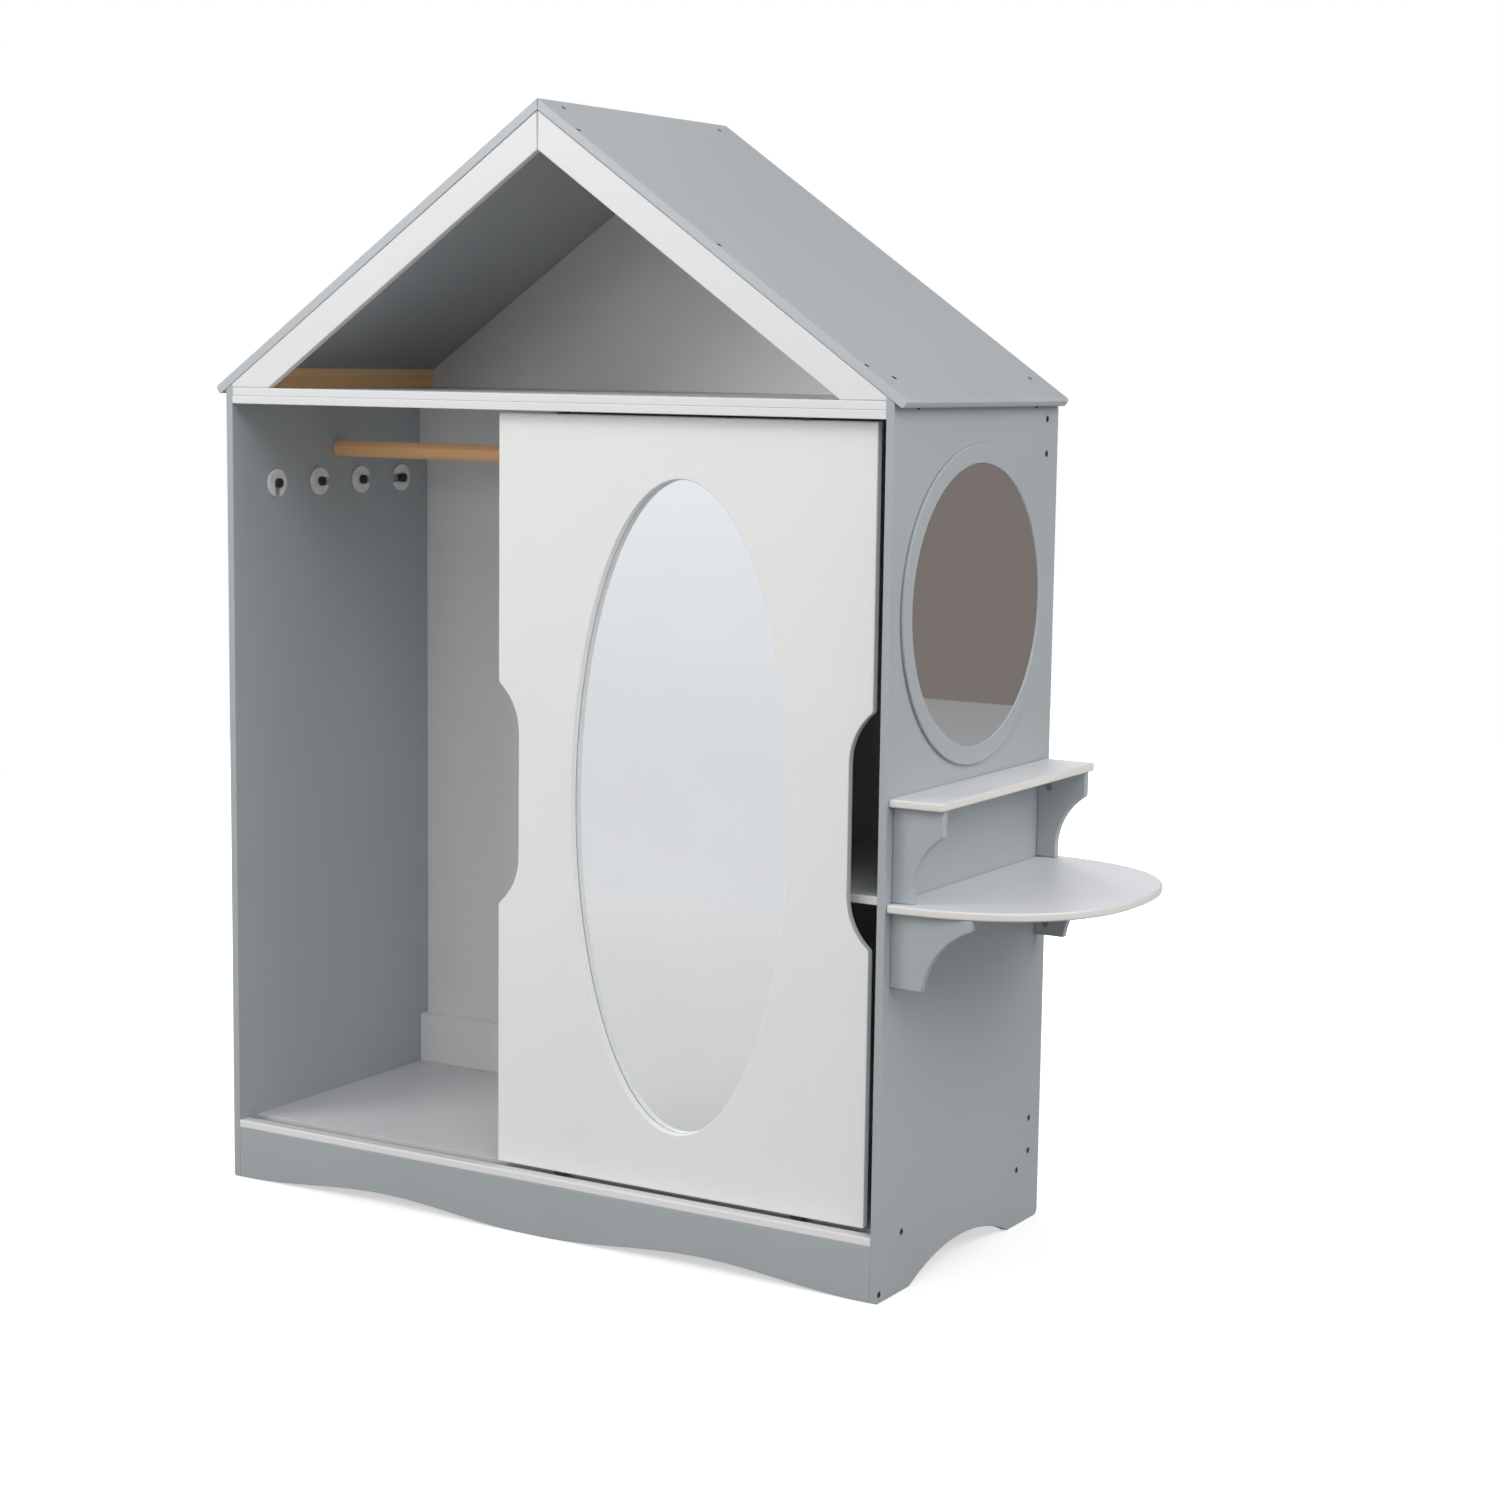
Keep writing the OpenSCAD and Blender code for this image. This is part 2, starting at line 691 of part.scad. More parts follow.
module door_mirror_backing() color(fibreboard) in_frame() difference() {
    oval_plate(door_back_y + glass_t, backing_t - glass_t, backing_lap);
    backing_screw_places() fastener_hole(screw_head_r, screw_r, backing_screw_len);
}

module backing_screw_places() for (i = [0:backing_screw_count - 1]) {
    turn = 360 * (i + 0.5) / backing_screw_count;
    translate([
        door_mid_x + (oval_a + backing_rim) * cos(turn),
        door_back_y + backing_t,
        door_mid_z + (oval_b + backing_rim) * sin(turn)
    ]) rotate([0, 0, -90]) children();
}

module backing_screws() color(slate_metal) in_frame() {
    backing_screw_places() fastener(screw_head_r, screw_r, backing_screw_len);
}

module roller_housing(x) color(dark_nylon) in_frame() difference() {
    box_at(x - housing_l / 2, door_mid_y - housing_w / 2, door_z0,
        [housing_l, housing_w, housing_top - door_z0]);
    translate([x, door_mid_y, axle_z]) {
        wheel_slot_r = wheel_r + wheel_slot_clear;
        slot_w = wheel_w + 2 * wheel_side_clear;
        translate([0, -slot_w / 2, 0]) rod_y(wheel_slot_r, slot_w);
        translate([-wheel_slot_r, -slot_w / 2, -wheel_slot_r]) cube([2 * wheel_slot_r, slot_w, wheel_slot_r]);
        translate([0, -housing_w, 0]) rod_y(axle_r + axle_clear, 2 * housing_w);
    }
}

module roller_axle(x) color(slate_metal) in_frame() {
    translate([x, door_mid_y - housing_w / 2, axle_z]) rod_y(axle_r, housing_w);
}

module roller_wheel(x) color(dark_nylon) in_frame() translate([x, door_mid_y, axle_z]) difference() {
    translate([0, -wheel_w / 2, 0]) rod_y(wheel_r, wheel_w);
    translate([0, -wheel_w, 0]) rod_y(axle_r + axle_clear, 2 * wheel_w);
}

module top_guide(x) color(dark_nylon) in_frame() translate([x, door_mid_y, door_z1]) {
    cylinder(r = guide_r, h = guide_h);
    translate([0, 0, hole_clear - guide_stem_l]) cylinder(r = guide_stem_r, h = guide_stem_l);
}

module roller_housing_left() roller_housing(roller_left_x);

module roller_housing_right() roller_housing(roller_right_x);

module roller_axle_left() roller_axle(roller_left_x);

module roller_axle_right() roller_axle(roller_right_x);

module roller_wheel_left() roller_wheel(roller_left_x);

module roller_wheel_right() roller_wheel(roller_right_x);

module top_guide_left() top_guide(roller_left_x);

module top_guide_right() top_guide(roller_right_x);

// ---- round mirror and vanity on the right panel ----

module side_mirror_ring() color(grey_paint) in_frame() translate([width, mid_y, mirror_z]) difference() {
    rod_x(ring_r, ring_t);
    translate([-over, 0, 0]) rod_x(ring_r - ring_w, ring_t + 2 * over);
}

module side_mirror_glass() color(mirror_silver) in_frame() {
    translate([width, mid_y, mirror_z]) rod_x(ring_r - ring_w - glass_clear, glass_t);
}

function table_points() = [
    for (i = [0:table_steps]) let (t = -90 + 180 * i / table_steps, k = 2 / table_power) [
        width + table_reach * abs(cos(t)) ^ k,
        mid_y + table_half * sign(sin(t)) * abs(sin(t)) ^ k
    ]
];

module vanity_table() color(white_paint) in_frame() difference() {
    translate([0, 0, table_z]) linear_extrude(board_t) polygon(table_points());
    vanity_dowel_set(hole_clear);
}

module vanity_shelf() color(white_paint) in_frame() difference() {
    translate([width, ledge_y, ledge_z]) linear_extrude(board_t) difference() {
        square([ledge_reach, ledge_l]);
        translate([ledge_reach, 0]) mirror([1, 0]) corner_waste(ledge_r);
        translate([ledge_reach, ledge_l]) mirror([1, 0]) mirror([0, 1]) corner_waste(ledge_r);
    }
    vanity_dowel_set(hole_clear);
}

// outline of a bracket with its top edge at z_top, hollowed by an arc below a straight stretch
module bracket_outline(z_top, h, top, foot, straight) {
    p = [top, z_top - straight];
    q = [foot, z_top - h];
    translate([width, 0]) difference() {
        polygon([[0, z_top], [0, z_top - h], q, p, [top, z_top]]);
        translate(bow_centre(p, q, bracket_bow)) circle(bow_r(p, q, bracket_bow), $fn = 128);
    }
}

module upper_bracket(y) color(grey_paint) in_frame() difference() {
    along_y(y, board_t) bracket_outline(ledge_z, upper_h, upper_top, upper_foot, upper_straight);
    bracket_holes();
}

module lower_bracket(y) color(grey_paint) in_frame() difference() {
    along_y(y, board_t) bracket_outline(table_z, lower_h, lower_top, lower_foot, lower_straight);
    bracket_holes();
}

module bracket_holes() {
    barrels(hole_clear);
    bracket_bolt_places() fastener_hole(bolt_head_r, bolt_r, bracket_bolt_len);
    vanity_dowel_set(hole_clear);
}

module bracket_upper_front() upper_bracket(bracket_front_y);

module bracket_upper_rear() upper_bracket(bracket_rear_y);

module bracket_lower_front() lower_bracket(bracket_front_y);

module bracket_lower_rear() lower_bracket(bracket_rear_y);

// bolts run out through the right panel into the barrel nuts
module bracket_bolt_places() {
    for (y = [bracket_front_y, bracket_rear_y], z = [upper_barrel_z, lower_barrel_z]) {
        translate([width - board_t, y + board_t / 2, z]) children();
    }
}

module bracket_bolts() color(slate_metal) in_frame() {
    bracket_bolt_places() fastener(bolt_head_r, bolt_r, bracket_bolt_len);
}

// barrel nuts let in from the brackets' inner faces
module barrels(extra) {
    for (y = [bracket_front_y + barrel_web, bracket_rear_y], z = [upper_barrel_z, lower_barrel_z]) {
        translate([width + barrel_x, y - extra, z]) rod_y(barrel_r + extra, barrel_depth + 2 * extra);
    }
}

module bracket_barrel_nuts() color(slate_metal) in_frame() difference() {
    barrels(0);
    bracket_bolt_places() rod_x(bolt_r + hole_clear, bracket_bolt_len + hole_clear);
}

// an upright dowel, at x from the side panel, between two heights
module dowel(x, z0, z1, extra) translate([x, 0, z0 - extra]) {
    cylinder(r = dowel_r + extra, h = z1 - z0 + 2 * extra);
}

// dowels from bracket to bracket through the table, up into the table and up into the small shelf
module vanity_dowel_set(extra) for (y = [bracket_front_y, bracket_rear_y]) {
    translate([width, y + board_t / 2, 0]) {
        dowel(table_dowel_x, table_z - dowel_l / 2, table_z + board_t + dowel_l / 2, extra);
        dowel(table_tip_dowel_x, table_z - dowel_l + dowel_seat, table_z + dowel_seat, extra);
        dowel(ledge_dowel_x, ledge_z - dowel_l + dowel_seat, ledge_z + dowel_seat, extra);
    }
}

module vanity_dowels() color(bare_wood) in_frame() vanity_dowel_set(0);

// ---- nodes ----

left_side_panel();
right_side_panel();
bottom_shelf();
front_apron();
attic_floor();
top_track_rail();
back_panel();
back_top_rail();
back_bottom_rail();
divider_panel();
cubby_shelf();
cubby_shelf_dowels();
hanging_rod();
rod_bolts();
hook_discs();
hook_knobs();
carcass_bolts();
divider_screws();
back_panel_screws();
roof_panel_left();
roof_panel_right();
rake_board_left();
rake_board_right();
gable_back_panel();
ridge_cleat();
eave_cleat_left();
eave_cleat_right();
roof_wedge_left();
roof_wedge_right();
roof_screws();
door_panel();
door_mirror();
door_mirror_spacer();
door_mirror_backing();
backing_screws();
roller_housing_left();
roller_housing_right();
roller_axle_left();
roller_axle_right();
roller_wheel_left();
roller_wheel_right();
top_guide_left();
top_guide_right();
side_mirror_ring();
side_mirror_glass();
vanity_table();
vanity_shelf();
bracket_upper_front();
bracket_upper_rear();
bracket_lower_front();
bracket_lower_rear();
bracket_barrel_nuts();
bracket_bolts();
vanity_dowels();
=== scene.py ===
import math

import bmesh
import bpy
from mathutils import Matrix, Vector


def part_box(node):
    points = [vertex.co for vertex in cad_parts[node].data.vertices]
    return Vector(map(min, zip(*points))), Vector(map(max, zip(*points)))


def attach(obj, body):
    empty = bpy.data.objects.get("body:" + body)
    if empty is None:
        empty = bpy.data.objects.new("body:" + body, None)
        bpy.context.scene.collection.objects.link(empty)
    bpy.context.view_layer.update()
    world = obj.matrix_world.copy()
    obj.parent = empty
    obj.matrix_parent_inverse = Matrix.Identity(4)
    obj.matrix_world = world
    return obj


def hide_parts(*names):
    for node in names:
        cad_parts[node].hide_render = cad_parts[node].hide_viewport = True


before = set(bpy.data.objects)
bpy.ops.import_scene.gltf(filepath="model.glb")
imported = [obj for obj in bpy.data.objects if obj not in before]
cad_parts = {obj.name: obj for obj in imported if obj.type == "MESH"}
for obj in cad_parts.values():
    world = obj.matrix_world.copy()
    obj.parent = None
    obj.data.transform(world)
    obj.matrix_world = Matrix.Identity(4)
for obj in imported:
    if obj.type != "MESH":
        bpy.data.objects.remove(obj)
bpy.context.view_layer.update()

# Children's dress up storage unit: a house-shaped wardrobe with a sliding mirror door.
# Every piece is drawn in millimetres in the cabinet's own frame, where x runs right from the left
# side panel, y back from the front and z up from the floor, and is then put where the CAD has it.

# ---- Side panels ----
# Two sawn sheets of 10.5 mm medium-density fibreboard carry everything else. An arch is routed
# in each foot, the top edge is planed to the roof's slope and the rear foot is rounded. All edges
# are eased, and the sheets are sprayed grey-blue on both faces.

cabinet_place = Matrix.Translation(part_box("left_side_panel")[0]) @ Matrix.Scale(0.001, 4)
width, depth = 1000, 446
wall_height = 1070
board_thick = 10.5
inner_right = width - board_thick
middle_y = 220
edge_ease = 1.0
pitch = math.radians(34.6)
roof_slope = math.tan(pitch)
arch_chord, arch_height = 274, 30
foot_radius, corner_radius = 8, 1.4


def arc(centre, radius, first, last, steps):
    """Points along an arc, with its two ends given in degrees."""
    turns = [math.radians(first + (last - first) * i / steps) for i in range(steps + 1)]
    return [(centre[0] + radius * math.cos(t), centre[1] + radius * math.sin(t)) for t in turns]


def corner(u, v, radius, first, steps=4):
    """A rounded corner, a quarter turn from its first angle: up 90, left 180, down -90 or right 0."""
    u += radius if first in (90, 180) else -radius
    v += radius if first in (180, 270, -90) else -radius
    return arc((u, v), radius, first, first + 90, steps)


def rounded(corners, radius=1.4, steps=4):
    """An outline whose corners are turned into arcs, all of one radius or each of its own."""
    radii = radius if isinstance(radius, list) else [radius] * len(corners)
    outline = []
    for i, (point, r) in enumerate(zip(corners, radii)):
        here = Vector(point)
        if r == 0:
            outline.append(tuple(here))
            continue
        back = (Vector(corners[i - 1]) - here).normalized()
        ahead = (Vector(corners[(i + 1) % len(corners)]) - here).normalized()
        half = back.angle(ahead) / 2
        centre = here + (back + ahead).normalized() * r / math.sin(half)
        start = here + back * r / math.tan(half) - centre
        end = here + ahead * r / math.tan(half) - centre
        for k in range(steps + 1):
            outline.append(tuple(centre + start.lerp(end, k / steps).normalized() * r))
    return outline


def linked(name, data):
    """A new object in the scene."""
    obj = bpy.data.objects.new(name, data)
    bpy.context.scene.collection.objects.link(obj)
    return obj


def evaluated_mesh(obj):
    """A plain mesh of an object with its modifiers applied; the object itself goes."""
    graph = bpy.context.evaluated_depsgraph_get()
    mesh = bpy.data.meshes.new_from_object(
        obj.evaluated_get(graph), preserve_all_data_layers=True, depsgraph=graph)
    bpy.data.objects.remove(obj)
    return mesh


def weld(mesh):
    """Merges doubled points and turns every face outwards."""
    work = bmesh.new()
    work.from_mesh(mesh)
    bmesh.ops.remove_doubles(work, verts=work.verts, dist=0.002)
    bmesh.ops.dissolve_degenerate(work, edges=work.edges, dist=0.001)
    bmesh.ops.recalc_face_normals(work, faces=work.faces)
    work.to_mesh(mesh)
    work.free()
    return mesh


plane_turns = {
    "x": Matrix(((0, 0, 1), (1, 0, 0), (0, 1, 0))).to_4x4(),
    "y": Matrix(((1, 0, 0), (0, 0, -1), (0, 1, 0))).to_4x4(),
    "z": Matrix.Identity(4),
}


def board(normal, start, thickness, *outlines, ease=edge_ease):
    """A board sawn to an outline, with holes, square to one axis and with both rims eased."""
    curve = bpy.data.curves.new("outline", "CURVE")
    curve.dimensions = "2D"
    curve.fill_mode = "BOTH"
    curve.extrude = thickness / 2 - ease
    curve.bevel_depth = ease
    curve.bevel_resolution = 2
    curve.offset = -ease
    for outline in outlines:
        spline = curve.splines.new("POLY")
        spline.points.add(len(outline) - 1)
        for point, (u, v) in zip(spline.points, outline):
            point.co = (u, v, 0, 1)
        spline.use_cyclic_u = True
    mesh = evaluated_mesh(linked("outline", curve))
    middle = [(start + thickness / 2) * (axis == normal) for axis in "xyz"]
    mesh.transform(Matrix.Translation(middle) @ plane_turns[normal])
    return weld(mesh)


def feed(socket, value):
    """Links a socket to another one, or gives it its own value; a colour may leave out its alpha."""
    if isinstance(value, bpy.types.NodeSocket):
        socket.id_data.links.new(value, socket)
    else:
        socket.default_value = (*value, 1) if socket.type == "RGBA" and len(value) == 3 else value


def add_node(tree, kind, inputs=(), **settings):
    """A new node with its settings and with its inputs, by name or number, fed."""
    node = tree.nodes.new(kind)
    for name, value in settings.items():
        setattr(node, name, value)
    for key, value in dict(inputs).items():
        feed(node.inputs[key], value)
    return node


def made(tree, kind, inputs=(), output=0, **settings):
    """One output of a new node."""
    return add_node(tree, kind, inputs, **settings).outputs[output]


def calc(operation, *values):
    """The result of a Math node in the tree that the sockets among its values belong to."""
    tree = next(value.id_data for value in values if isinstance(value, bpy.types.NodeSocket))
    return made(tree, "ShaderNodeMath", enumerate(values), operation=operation)


def coordinates(vector):
    """The x, y and z of a vector."""
    return list(add_node(vector.id_data, "ShaderNodeSeparateXYZ", {0: vector}).outputs)


def spread(value, low, high, first=0.3, last=0.7, way="LINEAR"):
    """Stretches part of a value's range, for a noise its middle, to run from low to high."""
    inputs = {"Value": value, "From Min": first, "From Max": last, "To Min": low, "To Max": high}
    return made(value.id_data, "ShaderNodeMapRange", inputs, interpolation_type=way)


def noise(vector, scale, detail=2.0):
    """A noise value at each place."""
    return made(vector.id_data, "ShaderNodeTexNoise", {"Vector": vector, "Scale": scale, "Detail": detail})


def blend(factor, first, second):
    """A mix of two colours."""
    return made(factor.id_data, "ShaderNodeMix", {"Factor": factor, 6: first, 7: second}, 2, data_type="RGBA")


def product(first, second):
    """A vector or colour multiplied by another one or by a number."""
    return made(first.id_data, "ShaderNodeVectorMath", {0: first, 1: second}, operation="MULTIPLY")


def bumped(height, strength, distance, **more):
    """A normal tilted by a height."""
    inputs = {"Height": height, "Strength": strength, "Distance": distance, **more}
    return made(height.id_data, "ShaderNodeBump", inputs)


def node_group(kind, name, inputs, **outputs):
    """A node group and its given and outgoing sockets, an input by its value or kind of socket."""
    group = bpy.data.node_groups.new(name, kind)
    kinds = {float: "Float", int: "Int", tuple: "Color"}
    for label, value in inputs.items():
        socket = "NodeSocket" + kinds.get(type(value), value)
        item = group.interface.new_socket(label, in_out="INPUT", socket_type=socket)
        if not isinstance(value, str):
            item.default_value = value
    for label, socket in outputs.items():
        group.interface.new_socket(label, in_out="OUTPUT", socket_type="NodeSocket" + socket)
    return group, group.nodes.new("NodeGroupInput").outputs, group.nodes.new("NodeGroupOutput").inputs


def surface_group(name, inputs):
    """A shader group for a surface, the place it is asked about, and its sockets."""
    group, given, out = node_group(
        "ShaderNodeTree", name, inputs, Colour="Color", Roughness="Float", Normal="Vector")
    return group, made(group, "ShaderNodeTexCoord", output="Object"), given, out


# Sprayed paint: broad tone drift, the fine speckle of a sanded primer and an orange-peel surface.
# Upright faces may take a tone of their own, lighter than level ones: painted light by the way a face is turned.
sprayed, spray_at, spray_given, spray_out = surface_group("sprayed_paint", {
    "Colour": "Color", "Edge": (1, 1, 1, 1), "Roughness": 0.4, "Drift": 0.02, "Peel": 0.3})
spray_broad = noise(spray_at, 4.5, 3.0)
spray_fine = noise(spray_at, 380.0)
spray_drift = calc("MULTIPLY", spread(spray_broad, -1.0, 1.0), spray_given["Drift"])
spray_tone = calc("ADD", calc("ADD", 1.0, spray_drift), spread(spray_fine, -0.012, 0.012))
# Painted light by facing: upright faces multiply the colour by their own tone.
spray_lean = coordinates(made(sprayed, "ShaderNodeNewGeometry", output="Normal"))[2]
spray_upright = calc("SUBTRACT", 1.0, calc("ABSOLUTE", spray_lean))
spray_facing_light = blend(spray_upright, (1, 1, 1), spray_given["Edge"])
spray_rough = calc("ADD", spray_given["Roughness"], spread(spray_broad, -0.04, 0.04))
spray_ripple = bumped(noise(spray_at, 40.0), 0.3, 0.00015)
feed(spray_out["Colour"], product(product(spray_given["Colour"], spray_facing_light), spray_tone))
feed(spray_out["Roughness"], calc("ADD", spray_rough, spread(spray_fine, -0.02, 0.02)))
feed(spray_out["Normal"], bumped(noise(spray_at, 1100.0, 1.0), spray_given["Peel"], 0.00004, Normal=spray_ripple))


def new_material(name, group, group_inputs, **constants):
    """A material whose Principled shader takes its surface from a shader group; and that group."""
    material = bpy.data.materials.new(name)
    material.use_nodes = True
    shader = material.node_tree.nodes["Principled BSDF"].inputs
    surface = add_node(material.node_tree, "ShaderNodeGroup", node_tree=group)
    for key, value in group_inputs.items():
        feed(surface.inputs[key], value)
    for key, output in (("Base Color", "Colour"), ("Roughness", "Roughness"), ("Normal", "Normal")):
        feed(shader[key], surface.outputs[output])
    for key, value in constants.items():
        feed(shader[key.replace("_", " ")], value)
    return material, surface


def paint(name, colour, edge, roughness, drift, peel):
    """A sprayed paint; its edge tone paints light onto upright faces, and 1, 1, 1 paints none."""
    return new_material(name, sprayed, {
        "Colour": colour, "Edge": edge, "Roughness": roughness, "Drift": drift, "Peel": peel})[0]


grey_paint = paint("grey_paint", (0.42, 0.455, 0.475), (1, 1, 1), 0.42, 0.02, 0.3)
sharp_angle = math.radians(35)


def fit(name, node, mesh, material, body="cabinet"):
    """Puts a mesh drawn in millimetres in its place, shades it and hangs it on its body.

    Its one slot holds its material.
    """
    mesh.transform(cabinet_place)
    mesh.shade_smooth()
    mesh.set_sharp_from_angle(angle=sharp_angle)
    rough = linked(name + "_rough", mesh)
    rough.modifiers.new("flat faces", "WEIGHTED_NORMAL").keep_sharp = True
    finished = linked(name, evaluated_mesh(rough))
    finished.data.name = name
    finished.data.materials.clear()
    finished.data.materials.append(material)
    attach(finished, body)
    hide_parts(node)


# Flush bolts and screws: a shank, a head let into the board and a driver socket in its face,
# set out on points whose axis attribute gives the way the head looks.
fastener_tree, fastener_size, fastener_out = node_group("GeometryNodeTree", "flush_fasteners", {
    "Places": "Geometry", "Head radius": 4.25, "Head height": 2.0, "Shank radius": 3.0, "Length": 40.0,
    "Proud": 0.0, "Chamfer": 0.35, "Socket radius": 2.0, "Socket depth": 1.3, "Socket lobes": 6.0,
    "Lobe depth": 0.14, "Material": "Material",
}, Geometry="Geometry")
fastener_sides = 24


def position(tree):
    """The x, y and z of each point."""
    return coordinates(made(tree, "GeometryNodeInputPosition"))


def fastener_step(geometry, top, rise, factor):
    """Extrudes the top face, then raises it and scales it about the fastener's axis."""
    step = add_node(fastener_tree, "GeometryNodeExtrudeMesh", {
        "Mesh": geometry, "Offset Scale": 0.0, "Individual": False})
    if top is not None:
        feed(step.inputs["Selection"], top)
    x, y, z = position(fastener_tree)
    moved = made(fastener_tree, "ShaderNodeCombineXYZ", {
        "X": calc("MULTIPLY", x, factor), "Y": calc("MULTIPLY", y, factor), "Z": calc("ADD", z, rise)})
    mesh, top = step.outputs["Mesh"], step.outputs["Top"]
    inputs = {"Geometry": mesh, "Selection": top, "Position": moved}
    return made(fastener_tree, "GeometryNodeSetPosition", inputs), top


def sewn(*parts):
    """Geometries joined into one, with the doubled points between them merged."""
    tree = parts[0].id_data
    joined = add_node(tree, "GeometryNodeJoinGeometry")
    for part in parts:
        feed(joined.inputs[0], part)
    return made(tree, "GeometryNodeMergeByDistance", {0: joined.outputs[0], "Distance": 0.001})


def attribute(tree, name, kind):
    """A named attribute of each point."""
    return made(tree, "GeometryNodeInputNamedAttribute", {"Name": name}, data_type=kind)


def axis_turn(tree):
    """The turn that brings the z axis onto each point's axis attribute."""
    inputs = {"Vector": attribute(tree, "axis", "FLOAT_VECTOR")}
    return made(tree, "FunctionNodeAlignRotationToVector", inputs, axis="Z")


def at_places(places, shape, turn):
    """The shape set on each place as an instance."""
    inputs = {"Points": places, "Instance": shape, "Rotation": turn}
    return made(places.id_data, "GeometryNodeInstanceOnPoints", inputs)


def give_out(out, geometry, material):
    """Ends a geometry tree: makes the instances real and sets their material."""
    real = made(geometry.id_data, "GeometryNodeRealizeInstances", {0: geometry})
    feed(out[0], made(geometry.id_data, "GeometryNodeSetMaterial", {"Geometry": real, "Material": material}))


shank_disc = made(fastener_tree, "GeometryNodeMeshCircle", {
    "Vertices": fastener_sides, "Radius": fastener_size["Shank radius"]}, fill_type="NGON")
shank_drop = made(fastener_tree, "ShaderNodeCombineXYZ", {
    "Z": calc("SUBTRACT", fastener_size["Proud"], fastener_size["Length"])})
shank_end = made(fastener_tree, "GeometryNodeTransform", {"Geometry": shank_disc, "Translation": shank_drop})
face_radius = calc("SUBTRACT", fastener_size["Head radius"], fastener_size["Chamfer"])
face_x, face_y = position(fastener_tree)[:2]
lobe_turn = calc("MULTIPLY", calc("ARCTAN2", face_y, face_x), calc("DIVIDE", fastener_size["Socket lobes"], 2.0))
lobe_loss = calc("SUBTRACT", 1.0, calc("ABSOLUTE", calc("COSINE", lobe_turn)))
lobe_share = calc("SUBTRACT", 1.0, calc("MULTIPLY", lobe_loss, fastener_size["Lobe depth"]))
lobe_radius = calc("MULTIPLY", lobe_share, fastener_size["Socket radius"])
fastener_body, fastener_top = shank_end, None
for rise, factor in (
    (calc("SUBTRACT", fastener_size["Length"], fastener_size["Head height"]), 1.0),
    (0.0, calc("DIVIDE", fastener_size["Head radius"], fastener_size["Shank radius"])),
    (calc("SUBTRACT", fastener_size["Head height"], fastener_size["Chamfer"]), 1.0),
    (fastener_size["Chamfer"], calc("DIVIDE", face_radius, fastener_size["Head radius"])),
    (0.0, calc("DIVIDE", lobe_radius, face_radius)),
    (calc("MULTIPLY", fastener_size["Socket depth"], -1.0), 1.0),
):
    fastener_body, fastener_top = fastener_step(fastener_body, fastener_top, rise, factor)
fastener_end = made(fastener_tree, "GeometryNodeFlipFaces", {0: shank_end})
fastener_set = at_places(fastener_size["Places"], sewn(fastener_body, fastener_end), axis_turn(fastener_tree))
give_out(fastener_out, fastener_set, fastener_size["Material"])


def grown(tree, mesh, **values):
    """Runs a geometry tree over a mesh and gives the plain mesh that comes out."""
    obj = linked("growing", mesh)
    modifier = obj.modifiers.new("tree", "NODES")
    modifier.node_group = tree
    for item in tree.interface.items_tree:
        key = item.name.replace(" ", "_").lower()
        if item.in_out == "INPUT" and key in values:
            modifier[item.identifier] = values[key]
    return evaluated_mesh(obj)


def set_out(places):
    """A mesh of bare points at (x, y, z) with an axis attribute, from (point, axis) pairs."""
    mesh = bpy.data.meshes.new("places")
    mesh.from_pydata([point for point, axis in places], [], [])
    axes = mesh.attributes.new("axis", "FLOAT_VECTOR", "POINT")
    for item, (point, axis) in zip(axes.data, places):
        item.vector = axis
    return mesh


def cut_out(mesh, *tools):
    """Takes closed shapes out of a board."""
    obj = linked("cutting", mesh)
    tools = [linked("tool", tool) for tool in tools]
    for tool in tools:
        cut = obj.modifiers.new("cut", "BOOLEAN")
        cut.operation, cut.solver, cut.object = "DIFFERENCE", "EXACT", tool
    mesh = evaluated_mesh(obj)
    for tool in tools:
        bpy.data.objects.remove(tool)
    return weld(mesh)


hole_gap, hole_over, hole_longer = 0.12, 2.0, 2.5


def drilled(mesh, *sets):
    """Cuts the stepped holes for one or more sets of fasteners, from (places, sizes) pairs."""
    return cut_out(mesh, *[grown(fastener_tree, set_out(places), **dict(
        sizes, proud=hole_over, length=sizes["length"] + hole_longer,
        head_height=sizes["head_height"] + hole_over, head_radius=sizes["head_radius"] + hole_gap,
        shank_radius=sizes["shank_radius"] + hole_gap,
    )) for places, sizes in sets])


def saw(name, node, material, normal, start, outline, *holes, thick=board_thick, ease=edge_ease, slot=None):
    """Saws a board, drills it for its fasteners and fits it."""
    mesh = board(normal, start, thick, outline, ease=ease)
    fit(name, node, drilled(mesh, *holes) if holes else mesh, material)


bolt_sizes = dict(
    head_radius=4.25, head_height=2.0, shank_radius=3.0, length=40.0, chamfer=0.4,
    socket_radius=2.2, socket_depth=1.4, socket_lobes=6.0, lobe_depth=0.14,
)
rod_bolt_sizes = dict(bolt_sizes, length=45.0)
bracket_bolt_sizes = dict(bolt_sizes, length=29.5)
shelf_top, attic_top = 80, 1072
attic_under = attic_top - board_thick
rail_height = 71.5
rail_middles = (attic_under - rail_height / 2, shelf_top + rail_height / 2)
rail_bolt_y, rail_bolt_step = 413, 22
floor_bolt_ys = (60, 380)
attic_bolt_z, shelf_bolt_z = 1065.25, 74.75
apron_bolt_spot = (5.25, 11)
panel_bolt_spots = (
    [(y, attic_bolt_z) for y in floor_bolt_ys]
    + [(rail_bolt_y, z + step) for z in rail_middles for step in (-rail_bolt_step, rail_bolt_step)]
    + [(y, shelf_bolt_z) for y in floor_bolt_ys] + [apron_bolt_spot]
)
left_bolts = [((0, y, z), (-1, 0, 0)) for y, z in panel_bolt_spots]
right_bolts = [((width, y, z), (1, 0, 0)) for y, z in panel_bolt_spots]


